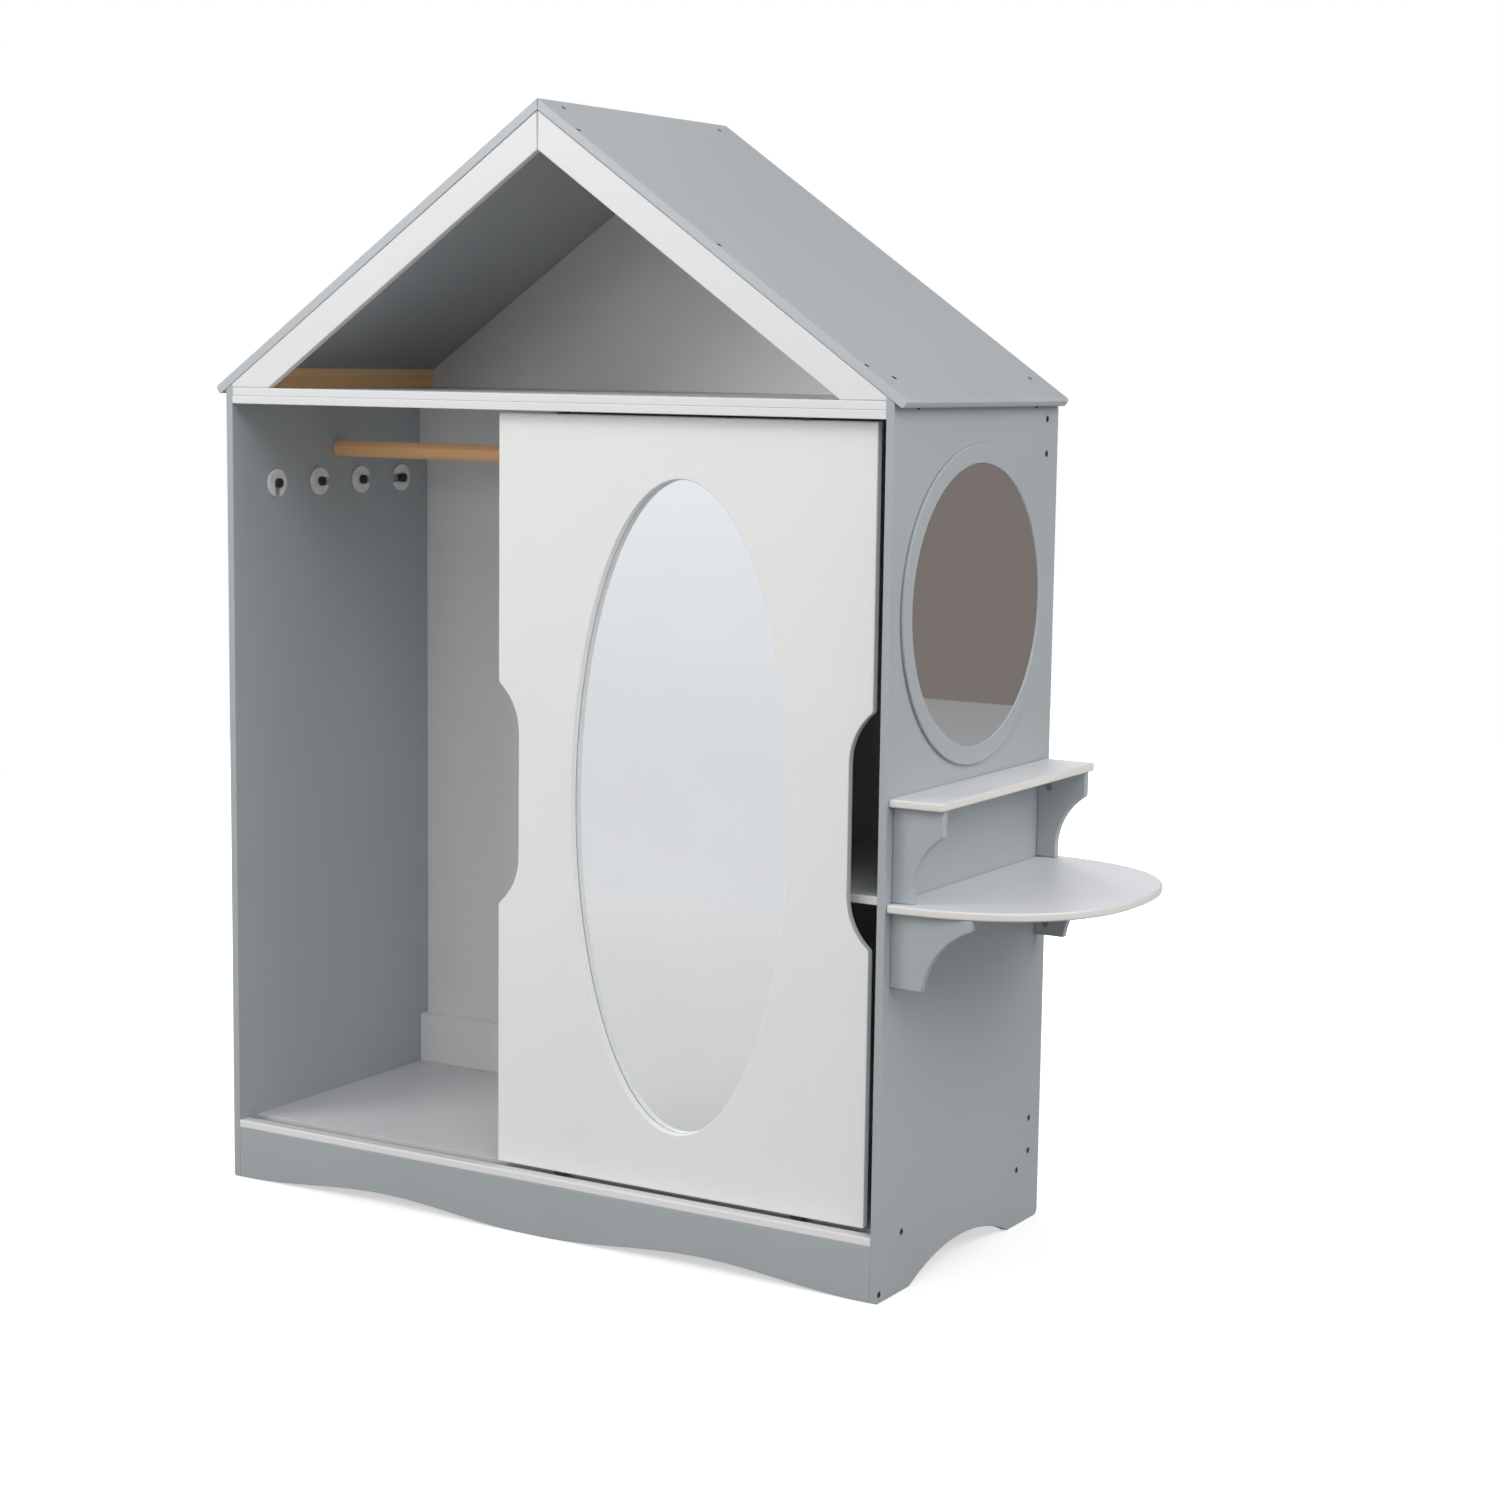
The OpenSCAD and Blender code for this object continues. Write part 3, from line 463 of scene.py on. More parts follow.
def bolts_of(first, last):
    """The bolts through both side panels from one spot to before another."""
    return left_bolts[first:last] + right_bolts[first:last], bolt_sizes


hook_ys = [86 + 90.5 * i for i in range(4)]
hook_height = 944
hook_holes = [((0, y, hook_height), (-1, 0, 0)) for y in hook_ys]
hook_hole_sizes = dict(bolt_sizes, head_radius=2.0, shank_radius=2.0, length=9.5)
divider_left, divider_right = (width - board_thick) / 2, (width + board_thick) / 2
rod_height = 988
rod_bolts = [((0, middle_y, rod_height), (-1, 0, 0)), ((divider_right, middle_y, rod_height), (1, 0, 0))]
bracket_bolt_ys, bracket_bolt_zs = (21.75, 418.25), (577.0, 398.0)
bracket_bolts = [((inner_right, y, z), (-1, 0, 0)) for y in bracket_bolt_ys for z in bracket_bolt_zs]

arch_radius = (arch_chord ** 2 / 4 + arch_height ** 2) / (2 * arch_height)
arch_half_turn = math.degrees(math.asin(arch_chord / 2 / arch_radius))
panel_top = wall_height + board_thick * roof_slope
panel_outline = (
    corner(0, panel_top, corner_radius, 90) + corner(0, 0, corner_radius, 180)
    + arc((middle_y, arch_height - arch_radius), arch_radius, 90 + arch_half_turn, 90 - arch_half_turn, 40)
    + corner(depth, 0, foot_radius, -90, 8) + corner(depth, panel_top, corner_radius, 0)
)
for side, outer_x, panel_holes in (
    ("left", 0, [(left_bolts, bolt_sizes), (rod_bolts[:1], rod_bolt_sizes), (hook_holes, hook_hole_sizes)]),
    ("right", width, [(right_bolts, bolt_sizes), (bracket_bolts, bracket_bolt_sizes)]),
):
    panel = board("x", min(outer_x, inner_right), board_thick, panel_outline)
    for vertex in panel.vertices:
        if vertex.co.z > wall_height - 20:
            vertex.co.z -= (board_thick - abs(vertex.co.x - outer_x)) * roof_slope
    fit("side_panel_board_" + side, side + "_side_panel", drilled(panel, *panel_holes), grey_paint)

# ---- Apron ----
# A strip of the same painted board closes the front under the bottom shelf. Two shallow waves are
# cut along its lower edge, and a bolt through each side panel holds its ends.

shelf_under = shelf_top - board_thick
wave_height, wave_steps = 15, 24
waves = [
    (first + (last - first) * i / wave_steps, wave_height * math.sin(math.pi * i / wave_steps) ** 2)
    for first, last in ((15.5, 490), (510, 984.5)) for i in range(wave_steps + 1)
]
apron_outline = [
    (board_thick, shelf_under), (board_thick, 0), *waves, (inner_right, 0), (inner_right, shelf_under)]
saw("apron_board", "front_apron", grey_paint, "y", 0, apron_outline, bolts_of(8, 9))

# ---- Bottom shelf, attic floor and track rail ----
# The two floors of the cabinet are white boards bolted between the side panels. The bottom shelf
# has a groove for the door's rollers, and a rail under the attic floor has one for its guides.

white_paint = paint("white_paint", (0.835, 0.835, 0.84), (1, 1, 1), 0.38, 0.012, 0.25)
screw_sizes = dict(
    head_radius=3.5, head_height=2.0, shank_radius=1.6, length=34.0, chamfer=0.3,
    socket_radius=2.1, socket_depth=1.2, socket_lobes=4.0, lobe_depth=0.6,
)
shelf_depth = 440
track_under = attic_under - board_thick
groove_front, groove_rear = 15.75, 34.75
shelf_groove, track_groove = shelf_top - 4, track_under + 6
divider_front = 42
inner_width = inner_right - board_thick
divider_screws = [
    ((width / 2, y, z), (0, 0, way)) for z, way in ((shelf_under, -1), (attic_top, 1)) for y in (100, 340)
]

shelf_section = rounded([
    (0, shelf_under), (shelf_depth, shelf_under), (shelf_depth, shelf_top), (groove_rear, shelf_top),
    (groove_rear, shelf_groove), (groove_front, shelf_groove), (groove_front, shelf_top), (0, shelf_top),
], radius=[1, 1, 1, 0.5, 0.4, 0.4, 0.5, 2.2])

# The groove's floor and walls, found by their place, are a darker tone than the rest of the shelf: painted shade in
# the recess.
# The shelf's level top is painted darker than its upright front, as painted shade.
shelf_paint, shelf_surface = new_material("shelf_paint", sprayed, {
    "Edge": (1.34, 1.33, 1.285), "Roughness": 0.38, "Drift": 0.012, "Peel": 0.25})
groove_half, groove_half_deep = 0.0098, 0.0021
groove_at = coordinates(made(shelf_paint.node_tree, "ShaderNodeTexCoord", output="Object"))
groove_middle = cabinet_place @ Vector((0, (groove_front + groove_rear) / 2, shelf_top - 2.4))
groove_shade_mask = calc(
    "MULTIPLY", calc("COMPARE", groove_at[1], groove_middle.y, groove_half),
    calc("COMPARE", groove_at[2], groove_middle.z, groove_half_deep),
)
feed(shelf_surface.inputs["Colour"], blend(groove_shade_mask, (0.655, 0.655, 0.672), (0.40, 0.39, 0.41)))
saw("bottom_shelf_board", "bottom_shelf", shelf_paint, "x", board_thick, shelf_section, bolts_of(6, 8),
    (divider_screws[:2], screw_sizes), thick=inner_width, ease=0.35, slot="white_paint")


def oblong(u0, v0, u1, v1, radius=1.4, steps=4):
    """A four-sided outline from its first corner to the one across."""
    return rounded([(u0, v0), (u1, v0), (u1, v1), (u0, v1)], radius, steps)


saw("attic_floor_board", "attic_floor", white_paint, "z", attic_under,
    oblong(board_thick, 0, inner_right, shelf_depth), bolts_of(0, 2), (divider_screws[2:], screw_sizes))

track_section = rounded([
    (0, track_under), (groove_front, track_under), (groove_front, track_groove), (groove_rear, track_groove),
    (groove_rear, track_under), (divider_front, track_under), (divider_front, attic_under), (0, attic_under),
], radius=[1, 0.5, 0.4, 0.4, 0.5, 1, 1, 1])
saw("track_rail_board", "top_track_rail", white_paint, "x", board_thick, track_section,
    thick=inner_width, ease=0.35)

# ---- Back ----
# A thin sheet closes the back. It is screwed to two stout rails that are bolted between the side
# panels under the attic floor and on the bottom shelf.

rail_front, rail_thick = 404, 18
back_front, back_thick = rail_front + rail_thick, 3.5
back_screw_sizes = dict(screw_sizes, length=15.0)
back_screws = [
    ((width / 2 + i * (inner_width - 100) / 4, back_front + back_thick, z), (0, 1, 0))
    for i in range(-2, 3) for z in reversed(rail_middles)
]
back_holes = back_screws, back_screw_sizes
saw("back_sheet", "back_panel", white_paint, "y", back_front,
    oblong(board_thick, shelf_top, inner_right, attic_under), back_holes, thick=back_thick, ease=0.5)
for level, node_level, rail_low, rail_holes in (
    ("upper", "top", attic_under - rail_height, bolts_of(2, 4)), ("lower", "bottom", shelf_top, bolts_of(4, 6)),
):
    saw("back_rail_" + level, "back_" + node_level + "_rail", white_paint, "y", rail_front,
        oblong(board_thick, rail_low, inner_right, rail_low + rail_height), rail_holes, back_holes,
        thick=rail_thick)

# ---- Divider and cubby shelf ----
# An upright board splits the cabinet into the hanging bay and the cubbies. It is notched round the
# back rails and carries one end of the rod and of the cubby shelf, which sits on four dowels.

divider_outline = rounded([
    (divider_front, shelf_top), (rail_front, shelf_top), (rail_front, shelf_top + rail_height),
    (back_front, shelf_top + rail_height), (back_front, attic_under - rail_height),
    (rail_front, attic_under - rail_height), (rail_front, attic_under), (divider_front, attic_under),
])
saw("divider_board", "divider_panel", white_paint, "x", divider_left, divider_outline,
    (rod_bolts[1:], rod_bolt_sizes), (divider_screws, screw_sizes))
cubby_under = 475
saw("cubby_shelf_board", "cubby_shelf", white_paint, "z", cubby_under,
    oblong(divider_right, divider_front, inner_right, back_front))

# ---- Hanging rod ----
# A turned pine rod under clear lacquer runs from the left side panel to the divider, on a bolt
# at each end. The same wood, sawn, makes the dowels and the cleats in the roof.

wood_grain, wood_at, grain_given, grain_out = surface_group("pine_grain", {
    "Turn": "Vector", "Pale": "Color", "Dark": "Color", "Ring width": 0.006, "Roughness": 0.45})
grain_at = made(wood_grain, "ShaderNodeMapping", {"Vector": wood_at, "Rotation": grain_given["Turn"]})
grain_long = product(grain_at, (1.0, 1.0, 0.07))
grain_x, grain_y = coordinates(grain_long)[:2]
grain_across = calc("ADD", grain_x, calc("MULTIPLY", grain_y, 0.6))
grain_across = calc("ADD", grain_across, calc("MULTIPLY", noise(grain_long, 22.0), 0.022))
grain_ring = calc("FRACT", calc("DIVIDE", grain_across, grain_given["Ring width"]))
grain_late = calc("MULTIPLY", calc("POWER", grain_ring, 2.5), 0.55)
grain_fibre = noise(product(grain_at, (1.0, 1.0, 0.025)), 900.0)
grain_mask = calc("ADD", grain_late, spread(grain_fibre, -0.05, 0.3))
feed(grain_out["Colour"], blend(grain_mask, grain_given["Pale"], grain_given["Dark"]))
feed(grain_out["Roughness"], calc("ADD", grain_given["Roughness"], calc("MULTIPLY", grain_mask, 0.1)))
feed(grain_out["Normal"], bumped(grain_mask, 0.25, 0.00012))
quarter = math.pi / 2


def pine(name, turn, pale, dark, ring_width):
    """Pine whose grain runs along the axis that the turn brings onto z."""
    return new_material(name, wood_grain, {
        "Turn": turn, "Pale": pale, "Dark": dark, "Ring width": ring_width, "Roughness": 0.4})[0]


rod_wood = pine("rod_pine", (0, quarter, 0), (0.98, 0.58, 0.28), (0.87, 0.44, 0.18), 0.009)
cleat_wood = pine("cleat_pine", (quarter, 0, 0), (0.98, 0.63, 0.31), (0.90, 0.53, 0.24), 0.007)
wedge_wood = pine("wedge_pine", (quarter, 0, 0), (0.98, 0.68, 0.38), (0.94, 0.60, 0.31), 0.006)


def turned_part(profile, sides=48):
    """Spins (radius, height) pairs about the z axis into a closed solid."""
    work = bmesh.new()
    rings = []
    for radius, height in profile:
        turns = [2 * math.pi * i / sides for i in range(sides if radius else 1)]
        rings.append([work.verts.new((radius * math.cos(t), radius * math.sin(t), height)) for t in turns])
    for low, high in zip(rings, rings[1:]):
        for i in range(sides):
            j = (i + 1) % sides
            if len(low) == 1:
                work.faces.new((low[0], high[i], high[j]))
            elif len(high) == 1:
                work.faces.new((low[i], low[j], high[0]))
            else:
                work.faces.new((low[i], low[j], high[j], high[i]))
    bmesh.ops.recalc_face_normals(work, faces=work.faces)
    mesh = bpy.data.meshes.new("turned")
    work.to_mesh(mesh)
    work.free()
    return mesh


def coat(material, *nodes):
    """Gives its material to a piece that keeps its CAD mesh."""
    for node in nodes:
        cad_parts[node].material_slots[0].material = material


rod_radius, rod_ease = 11, 0.6
rod_length = divider_left - board_thick
rod = turned_part([
    (0, 0), (rod_radius - rod_ease, 0), (rod_radius, rod_ease), (rod_radius, rod_length - rod_ease),
    (rod_radius - rod_ease, rod_length), (0, rod_length),
], sides=64)
rod.transform(Matrix.Translation((board_thick, middle_y, rod_height)) @ Matrix.Rotation(quarter, 4, "Y"))
fit("hanging_rod_turned", "hanging_rod", drilled(rod, (rod_bolts, rod_bolt_sizes)), rod_wood)
coat(rod_wood, "cubby_shelf_dowels", "vanity_dowels")

# ---- Coat hooks ----
# Four hooks are screwed in a row to the left panel. Each is a clear moulded disc with a notch from
# its rim to its middle, and a black knob that stands out from it.

hook_turns = [-90, 0, 0, 180]
disc_radius, disc_thick, disc_gap, notch_half = 19, 4.5, 0.3, 5.5


def mottled(name, blotches, tones, sheens, grains, grain_height):
    """A shader group for blotches of tone and sheen on a grain, each a noise's scale and detail."""
    group, at, given, out = surface_group(name, {"Colour": "Color", "Roughness": 0.4, "Grain": 0.3})
    blotch = noise(at, *blotches)
    feed(out["Colour"], product(given["Colour"], spread(blotch, *tones)))
    feed(out["Roughness"], calc("ADD", given["Roughness"], spread(blotch, *sheens)))
    feed(out["Normal"], bumped(noise(at, *grains), given["Grain"], grain_height))
    return group


def mottled_material(name, group, colour, roughness, grain, **constants):
    """A material whose surface comes from one of the mottled groups."""
    inputs = {"Colour": colour, "Roughness": roughness, "Grain": grain}
    return new_material(name, group, inputs, **constants)[0]


moulded = mottled("moulded_plastic", (90.0, 2.0), (0.94, 1.06), (-0.04, 0.04), (1500.0, 2.0), 0.00003)
clear_plastic = mottled_material(
    "clear_plastic", moulded, (0.95, 0.955, 0.97), 0.14, 0.1,
    Transmission_Weight=0.12, IOR=1.49, Specular_IOR_Level=1.0,
)
black_plastic = mottled_material("black_plastic", moulded, (0.012, 0.012, 0.013), 0.3, 0.4)

# Repeats one finished shape at each place, with its own z axis on the axis attribute and
# turned about it by the turn attribute.
repeat_tree, repeat_given, repeat_out = node_group("GeometryNodeTree", "repeat_at_places", {
    "Places": "Geometry", "Shape": "Object", "Material": "Material"}, Geometry="Geometry")
repeat_shape = made(repeat_tree, "GeometryNodeObjectInfo", {"Object": repeat_given["Shape"]}, "Geometry")
repeat_spin = made(repeat_tree, "FunctionNodeAxisAngleToRotation", {
    "Axis": (0.0, 0.0, 1.0), "Angle": attribute(repeat_tree, "turn", "FLOAT")})
repeat_turn = made(repeat_tree, "FunctionNodeRotateRotation", {
    "Rotation": axis_turn(repeat_tree), "Rotate By": repeat_spin}, rotation_space="LOCAL")
repeat_set = at_places(repeat_given["Places"], repeat_shape, repeat_turn)
give_out(repeat_out, repeat_set, repeat_given["Material"])


def repeated(shape_mesh, places, material, turns=()):
    """Copies of one shape at their places, from (point, axis) pairs and turns in degrees."""
    points = set_out(places)
    turn = points.attributes.new("turn", "FLOAT", "POINT")
    for item, degrees in zip(turn.data, turns):
        item.value = math.radians(degrees)
    shape = linked("shape", shape_mesh)
    mesh = grown(repeat_tree, points, shape=shape, material=material)
    bpy.data.objects.remove(shape)
    return mesh


notch_turn = math.degrees(math.asin(notch_half / disc_radius))
disc_outline = (
    arc((0, 0), disc_radius, 90 + notch_turn, 450 - notch_turn, 72)
    + arc((0, 0), notch_half, 0, -180, 20)
)
disc = board("z", disc_gap, disc_thick - disc_gap, disc_outline, ease=0.9)
hook_places = [((board_thick, y, hook_height), (1, 0, 0)) for y in hook_ys]
discs = repeated(disc, hook_places, clear_plastic, hook_turns)
fit("hook_disc_set", "hook_discs", discs, clear_plastic)

knob = turned_part([
    (0, -9.5), (2, -9.5), (2, 0), (3.5, 0), (3.5, 4.5), (6.1, 4.5), (6.5, 4.9), (6.5, 8.4), (6.2, 9.3), (5.2, 9.8),
    (3, 10), (0, 10),
])
fit("hook_knob_set", "hook_knobs", repeated(knob, hook_places, black_plastic), black_plastic)

# ---- Roof boards ----
# Two painted boards meet in a plumb joint at the ridge and run past the side panels to rounded
# eaves. Flush screws hold them to the rake boards, the cleats and the gable board.

roof_thick = 12
eave_over, eave_radius = 16, 4
peak = wall_height + width / 2 * roof_slope
slope_length = (width / 2 + eave_over - eave_radius * (1 - math.sin(pitch))) / math.cos(pitch) + eave_radius
down = Vector((math.cos(pitch), -math.sin(pitch)))
out = Vector((math.sin(pitch), math.cos(pitch)))
ridge_point = Vector((width / 2, peak + roof_thick / math.cos(pitch)))
roof_section = rounded([
    tuple(ridge_point), (width / 2, peak),
    tuple(ridge_point + down * slope_length - out * roof_thick), tuple(ridge_point + down * slope_length),
], radius=[0.6, 0.6, eave_radius, eave_radius], steps=8)


def other_side(outline):
    """The mirror image of an (x, z) outline about the middle of the cabinet."""
    return [(width - x, z) for x, z in reversed(outline)]


gable_front = 396
half_thick = board_thick / 2
top_run, eave_run = 20 * roof_slope + 3.2, slope_length - 46
right_roof_screws = []
for run, y in (
    (70, half_thick), (slope_length / 2, half_thick), (slope_length - 70, half_thick), (top_run, 36),
    (eave_run, 36), (top_run, gable_front + half_thick), (eave_run, gable_front + half_thick),
):
    spot = ridge_point + down * run
    right_roof_screws.append(((spot.x, y, spot.y), (out.x, 0, out.y)))
left_roof_screws = [((width - x, y, z), (-a, b, c)) for (x, y, z), (a, b, c) in right_roof_screws]
roof_screw_sizes = dict(screw_sizes, length=20.0)
roof_sides = ("right", list, right_roof_screws), ("left", other_side, left_roof_screws)
# The roof boards take a darker copy of the grey paint, as painted shade under the light from above, and their
# upright front edges are painted lighter, as painted light.
roof_paint = paint("roof_paint", (0.395, 0.425, 0.445), (1.32, 1.3, 1.3), 0.42, 0.02, 0.3)
for side, turned, screws in roof_sides:
    saw("roof_board_" + side, "roof_panel_" + side, roof_paint, "y", 0, turned(roof_section),
        (screws, roof_screw_sizes), thick=shelf_depth, slot="grey_paint")

# ---- Rake boards and gable ----
# White trim boards follow the slopes along the front, mitred at the peak and cut level on the
# attic floor. A triangular board closes the back of the attic.

rake_width, rake_joint = 39, 0.35
rake_drop = rake_width / math.cos(pitch)
rake_top = rake_joint / math.cos(pitch)


def under_roof(x):
    """The height of the roof's underside on the right half."""
    return wall_height + (width - x) * roof_slope


eave_z = under_roof(inner_right)
rake_start = width / 2 + rake_joint
rake_outline = rounded([
    (rake_start, under_roof(rake_start) - rake_top), (rake_start, under_roof(rake_start) - rake_drop),
    (width - (attic_top + rake_drop - wall_height) / roof_slope, attic_top), (inner_right, attic_top),
    (inner_right, eave_z - rake_top),
], radius=0.8)
for side, turned, screws in roof_sides:
    saw("rake_trim_" + side, "rake_board_" + side, white_paint, "y", 0, turned(rake_outline),
        (screws[:3], roof_screw_sizes), ease=1.2)

gable_outline = rounded([
    (board_thick, attic_top), (inner_right, attic_top), (inner_right, eave_z), (width / 2, peak),
    (board_thick, eave_z),
], radius=0.8)
saw("gable_board", "gable_back_panel", white_paint, "y", gable_front, gable_outline,
    (right_roof_screws[5:] + left_roof_screws[5:], roof_screw_sizes))

# ---- Cleats ----
# Sawn pine strips, left bare, brace the roof from inside: one under the peak, and along each eave
# a cleat on the attic floor with a thin wedge between it and the roof board.

cleat_left, cleat_top = inner_right - 30.5, attic_top + 15.5
cleat_run = gable_front - board_thick
ridge_drop = 30
ridge_half = ridge_drop / roof_slope
ridge_outline = rounded([
    (width / 2 - ridge_half, peak - ridge_drop), (width / 2 + ridge_half, peak - ridge_drop), (width / 2, peak),
], radius=0.8)
saw("ridge_cleat_strip", "ridge_cleat", cleat_wood, "y", board_thick, ridge_outline,
    ([right_roof_screws[3], left_roof_screws[3]], roof_screw_sizes), thick=cleat_run, ease=0.6, slot="bare_wood")
cleat_meets_roof = (width - (cleat_top - wall_height) / roof_slope, cleat_top)
cleat_outline = rounded([
    (cleat_left, attic_top), (inner_right, attic_top), (inner_right, eave_z), cleat_meets_roof,
    (cleat_left, cleat_top),
], radius=0.7)
wedge_outline = rounded([
    (cleat_left, cleat_top), cleat_meets_roof, (cleat_left, under_roof(cleat_left))], radius=0.4)
for side, turned, screws in roof_sides:
    for strip, outline, ease, wood in (
        ("eave_cleat", cleat_outline, 0.6, cleat_wood), ("roof_wedge", wedge_outline, 0.35, wedge_wood),
    ):
        saw(strip + "_strip_" + side, strip + "_" + side, wood, "y", board_thick, turned(outline),
            ([screws[4]], roof_screw_sizes), thick=cleat_run, ease=ease, slot="bare_wood")

# ---- Bolts and screws of the cabinet ----
# Flush steel bolts with hexagon sockets hold the boards, and cross-headed screws the roof, the
# divider and the back. All are blackened to a dark slate grey.

blacked = mottled("blackened_steel", (2200.0, 3.0), (0.8, 1.25), (-0.08, 0.08), (2200.0, 3.0), 0.00002)
dark_steel = mottled_material("dark_steel", blacked, (0.045, 0.055, 0.062), 0.42, 0.3, Metallic=0.35)


def fasteners(name, node, places, sizes, body="cabinet"):
    """A set of bolts or screws at their places."""
    fit(name, node, grown(fastener_tree, set_out(places), material=dark_steel, **sizes), dark_steel, body=body)


fasteners("carcass_bolt_set", "carcass_bolts", left_bolts + right_bolts, bolt_sizes)
fasteners("rod_bolt_set", "rod_bolts", rod_bolts, rod_bolt_sizes)
fasteners("divider_screw_set", "divider_screws", divider_screws, screw_sizes)
fasteners("back_screw_set", "back_panel_screws", back_screws, back_screw_sizes)
fasteners("roof_screw_set", "roof_screws", right_roof_screws + left_roof_screws, roof_screw_sizes)
fasteners("bracket_bolt_set", "bracket_bolts", bracket_bolts, bracket_bolt_sizes)

# ---- Sliding door ----
# One white board, sprayed a shade warmer than the trim, slides in front of the bay and cubbies.
# A long grip is cut in each edge and an oval in the middle, with the mirror fixed behind it.

# Its level faces are painted darker than its upright ones, as painted shade against the light from above.
door_paint = paint("door_paint", (0.75, 0.75, 0.745), (1.2, 1.2, 1.195), 0.45, 0.015, 0.35)
door_left, door_right = 429, 969
door_low, door_high = 83, 1048
door_front = 20
door_x, door_z = (door_left + door_right) / 2, (door_low + door_high) / 2
door_radius = 2.0
oval_half_width, oval_half_height = 157.5, 407
grip_depth, grip_radius, grip_flat, mouth_radius = 31, 80, 158, 6
mouth_x = grip_depth - grip_radius
fillet_z = grip_flat / 2 + math.sqrt((grip_radius + mouth_radius) ** 2 - (mouth_radius - mouth_x) ** 2)
grip_turn = math.degrees(math.atan2(fillet_z - grip_flat / 2, mouth_radius - mouth_x))
upper_grip = arc((mouth_radius, fillet_z), mouth_radius, 180, 180 + grip_turn, 6)
upper_grip += arc((mouth_x, grip_flat / 2), grip_radius, grip_turn, 0, 24)
grip_line = upper_grip + [(u, -v) for u, v in reversed(upper_grip)]
door_outline = (
    corner(door_left, door_high, door_radius, 90) + [(door_left + u, door_z + v) for u, v in grip_line]
    + corner(door_left, door_low, door_radius, 180) + corner(door_right, door_low, door_radius, 270)
    + [(door_right - u, door_z + v) for u, v in reversed(grip_line)]
    + corner(door_right, door_high, door_radius, 0)
)


def oval(more, steps, shift=0.0):
    """Points on an oval that runs round the door's opening at some distance."""
    turns = [2 * math.pi * (i + shift) / steps for i in range(steps)]
    reach = oval_half_width + more, oval_half_height + more
    return [(door_x + reach[0] * math.cos(t), door_z + reach[1] * math.sin(t)) for t in turns]


backing_screws = [((x, 36.5, z), (0, 1, 0)) for x, z in oval(16.5, 8, 0.5)]
backing_screw_sizes = dict(screw_sizes, length=11.25)
roller_xs = (524, 874)
housing_top = 101.1


def box(low, high):
    """A plain box from its lowest corner to its highest."""
    work = bmesh.new()
    bmesh.ops.create_cube(work, size=1)
    mesh = bpy.data.meshes.new("box")
    work.to_mesh(mesh)
    work.free()
    size = Vector(high) - Vector(low)
    mesh.transform(Matrix.Translation((Vector(high) + Vector(low)) / 2) @ Matrix.Diagonal((*size, 1)))
    return mesh


door = board("y", door_front, board_thick, door_outline, oval(0, 128), ease=1.5)
door = drilled(door, (backing_screws, backing_screw_sizes))
for x in roller_xs:
    door = cut_out(door, box((x - 17.05, 21.95, door_low - 5), (x + 17.05, 28.55, housing_top + 0.05)))
    door = cut_out(door, box((x - 2.6, 22.65, door_high - 18), (x + 2.6, 27.85, door_high + 5)))
fit("door_board", "door_panel", door, door_paint, body="door")

# ---- Door mirror ----
# An oval of silvered glass shows through the door. A fibreboard ring lies round it and a
# fibreboard sheet behind both, and eight screws hold them to the door's rear face.

silvered = mottled("silvered_glass", (7.0, 4.0), (0.985, 1.01), (0.0, 0.015), (3.0, 1.0), 0.0004)
mirror_glass = mottled_material("mirror_glass", silvered, (0.87, 0.89, 0.89), 0.01, 0.15, Metallic=1.0)

# Curved plates: an ellipse, or with a higher power a squarer curve, cut from sheet. The outline
# runs from one turn to another and closes with a straight edge where they differ.
plate_tree, plate_size, plate_out = node_group("GeometryNodeTree", "curved_plate", {
    "Start": "Geometry", "Half width": 100.0, "Half length": 100.0, "Thickness": 3.0, "Power": 2.0,
    "First turn": 0.0, "Last turn": 360.0, "Points": 128, "Material": "Material",
}, Geometry="Geometry")
plate_disc = made(plate_tree, "GeometryNodeMeshCircle", {
    "Vertices": plate_size["Points"], "Radius": 1.0}, fill_type="NGON")
plate_index = made(plate_tree, "GeometryNodeInputIndex")
plate_share = calc("DIVIDE", plate_index, calc("SUBTRACT", plate_size["Points"], 1.0))
plate_sweep = calc("SUBTRACT", plate_size["Last turn"], plate_size["First turn"])
plate_turn = calc("RADIANS", calc("ADD", plate_size["First turn"], calc("MULTIPLY", plate_share, plate_sweep)))
plate_power = calc("DIVIDE", 2.0, plate_size["Power"])


def plate_reach(wave, half):
    """One coordinate of the curve: half times the signed power of a sine or cosine."""
    value = calc(wave, plate_turn)
    curved = calc("POWER", calc("ABSOLUTE", value), plate_power)
    return calc("MULTIPLY", calc("MULTIPLY", curved, calc("SIGN", value)), half)


plate_point = made(plate_tree, "ShaderNodeCombineXYZ", {
    "X": plate_reach("COSINE", plate_size["Half width"]), "Y": plate_reach("SINE", plate_size["Half length"])})
plate_face = made(plate_tree, "GeometryNodeSetPosition", {"Geometry": plate_disc, "Position": plate_point})
plate_wall = made(plate_tree, "GeometryNodeExtrudeMesh", {
    "Mesh": plate_face, "Offset Scale": plate_size["Thickness"], "Individual": False})
plate_back = made(plate_tree, "GeometryNodeFlipFaces", {0: plate_face})
give_out(plate_out, sewn(plate_wall, plate_back), plate_size["Material"])


def plate(place, ease, material, **sizes):
    """A curved plate with an eased rim, its lower face's middle at the origin of its place."""
    obj = linked("plate", grown(plate_tree, bpy.data.meshes.new("start"), material=material, **sizes))
    rim = obj.modifiers.new("rim", "BEVEL")
    rim.width = ease
    rim.segments = 4
    rim.limit_method = "ANGLE"
    rim.angle_limit = math.radians(50)
    mesh = evaluated_mesh(obj)
    mesh.transform(place)
    return weld(mesh)


glass_points = 160


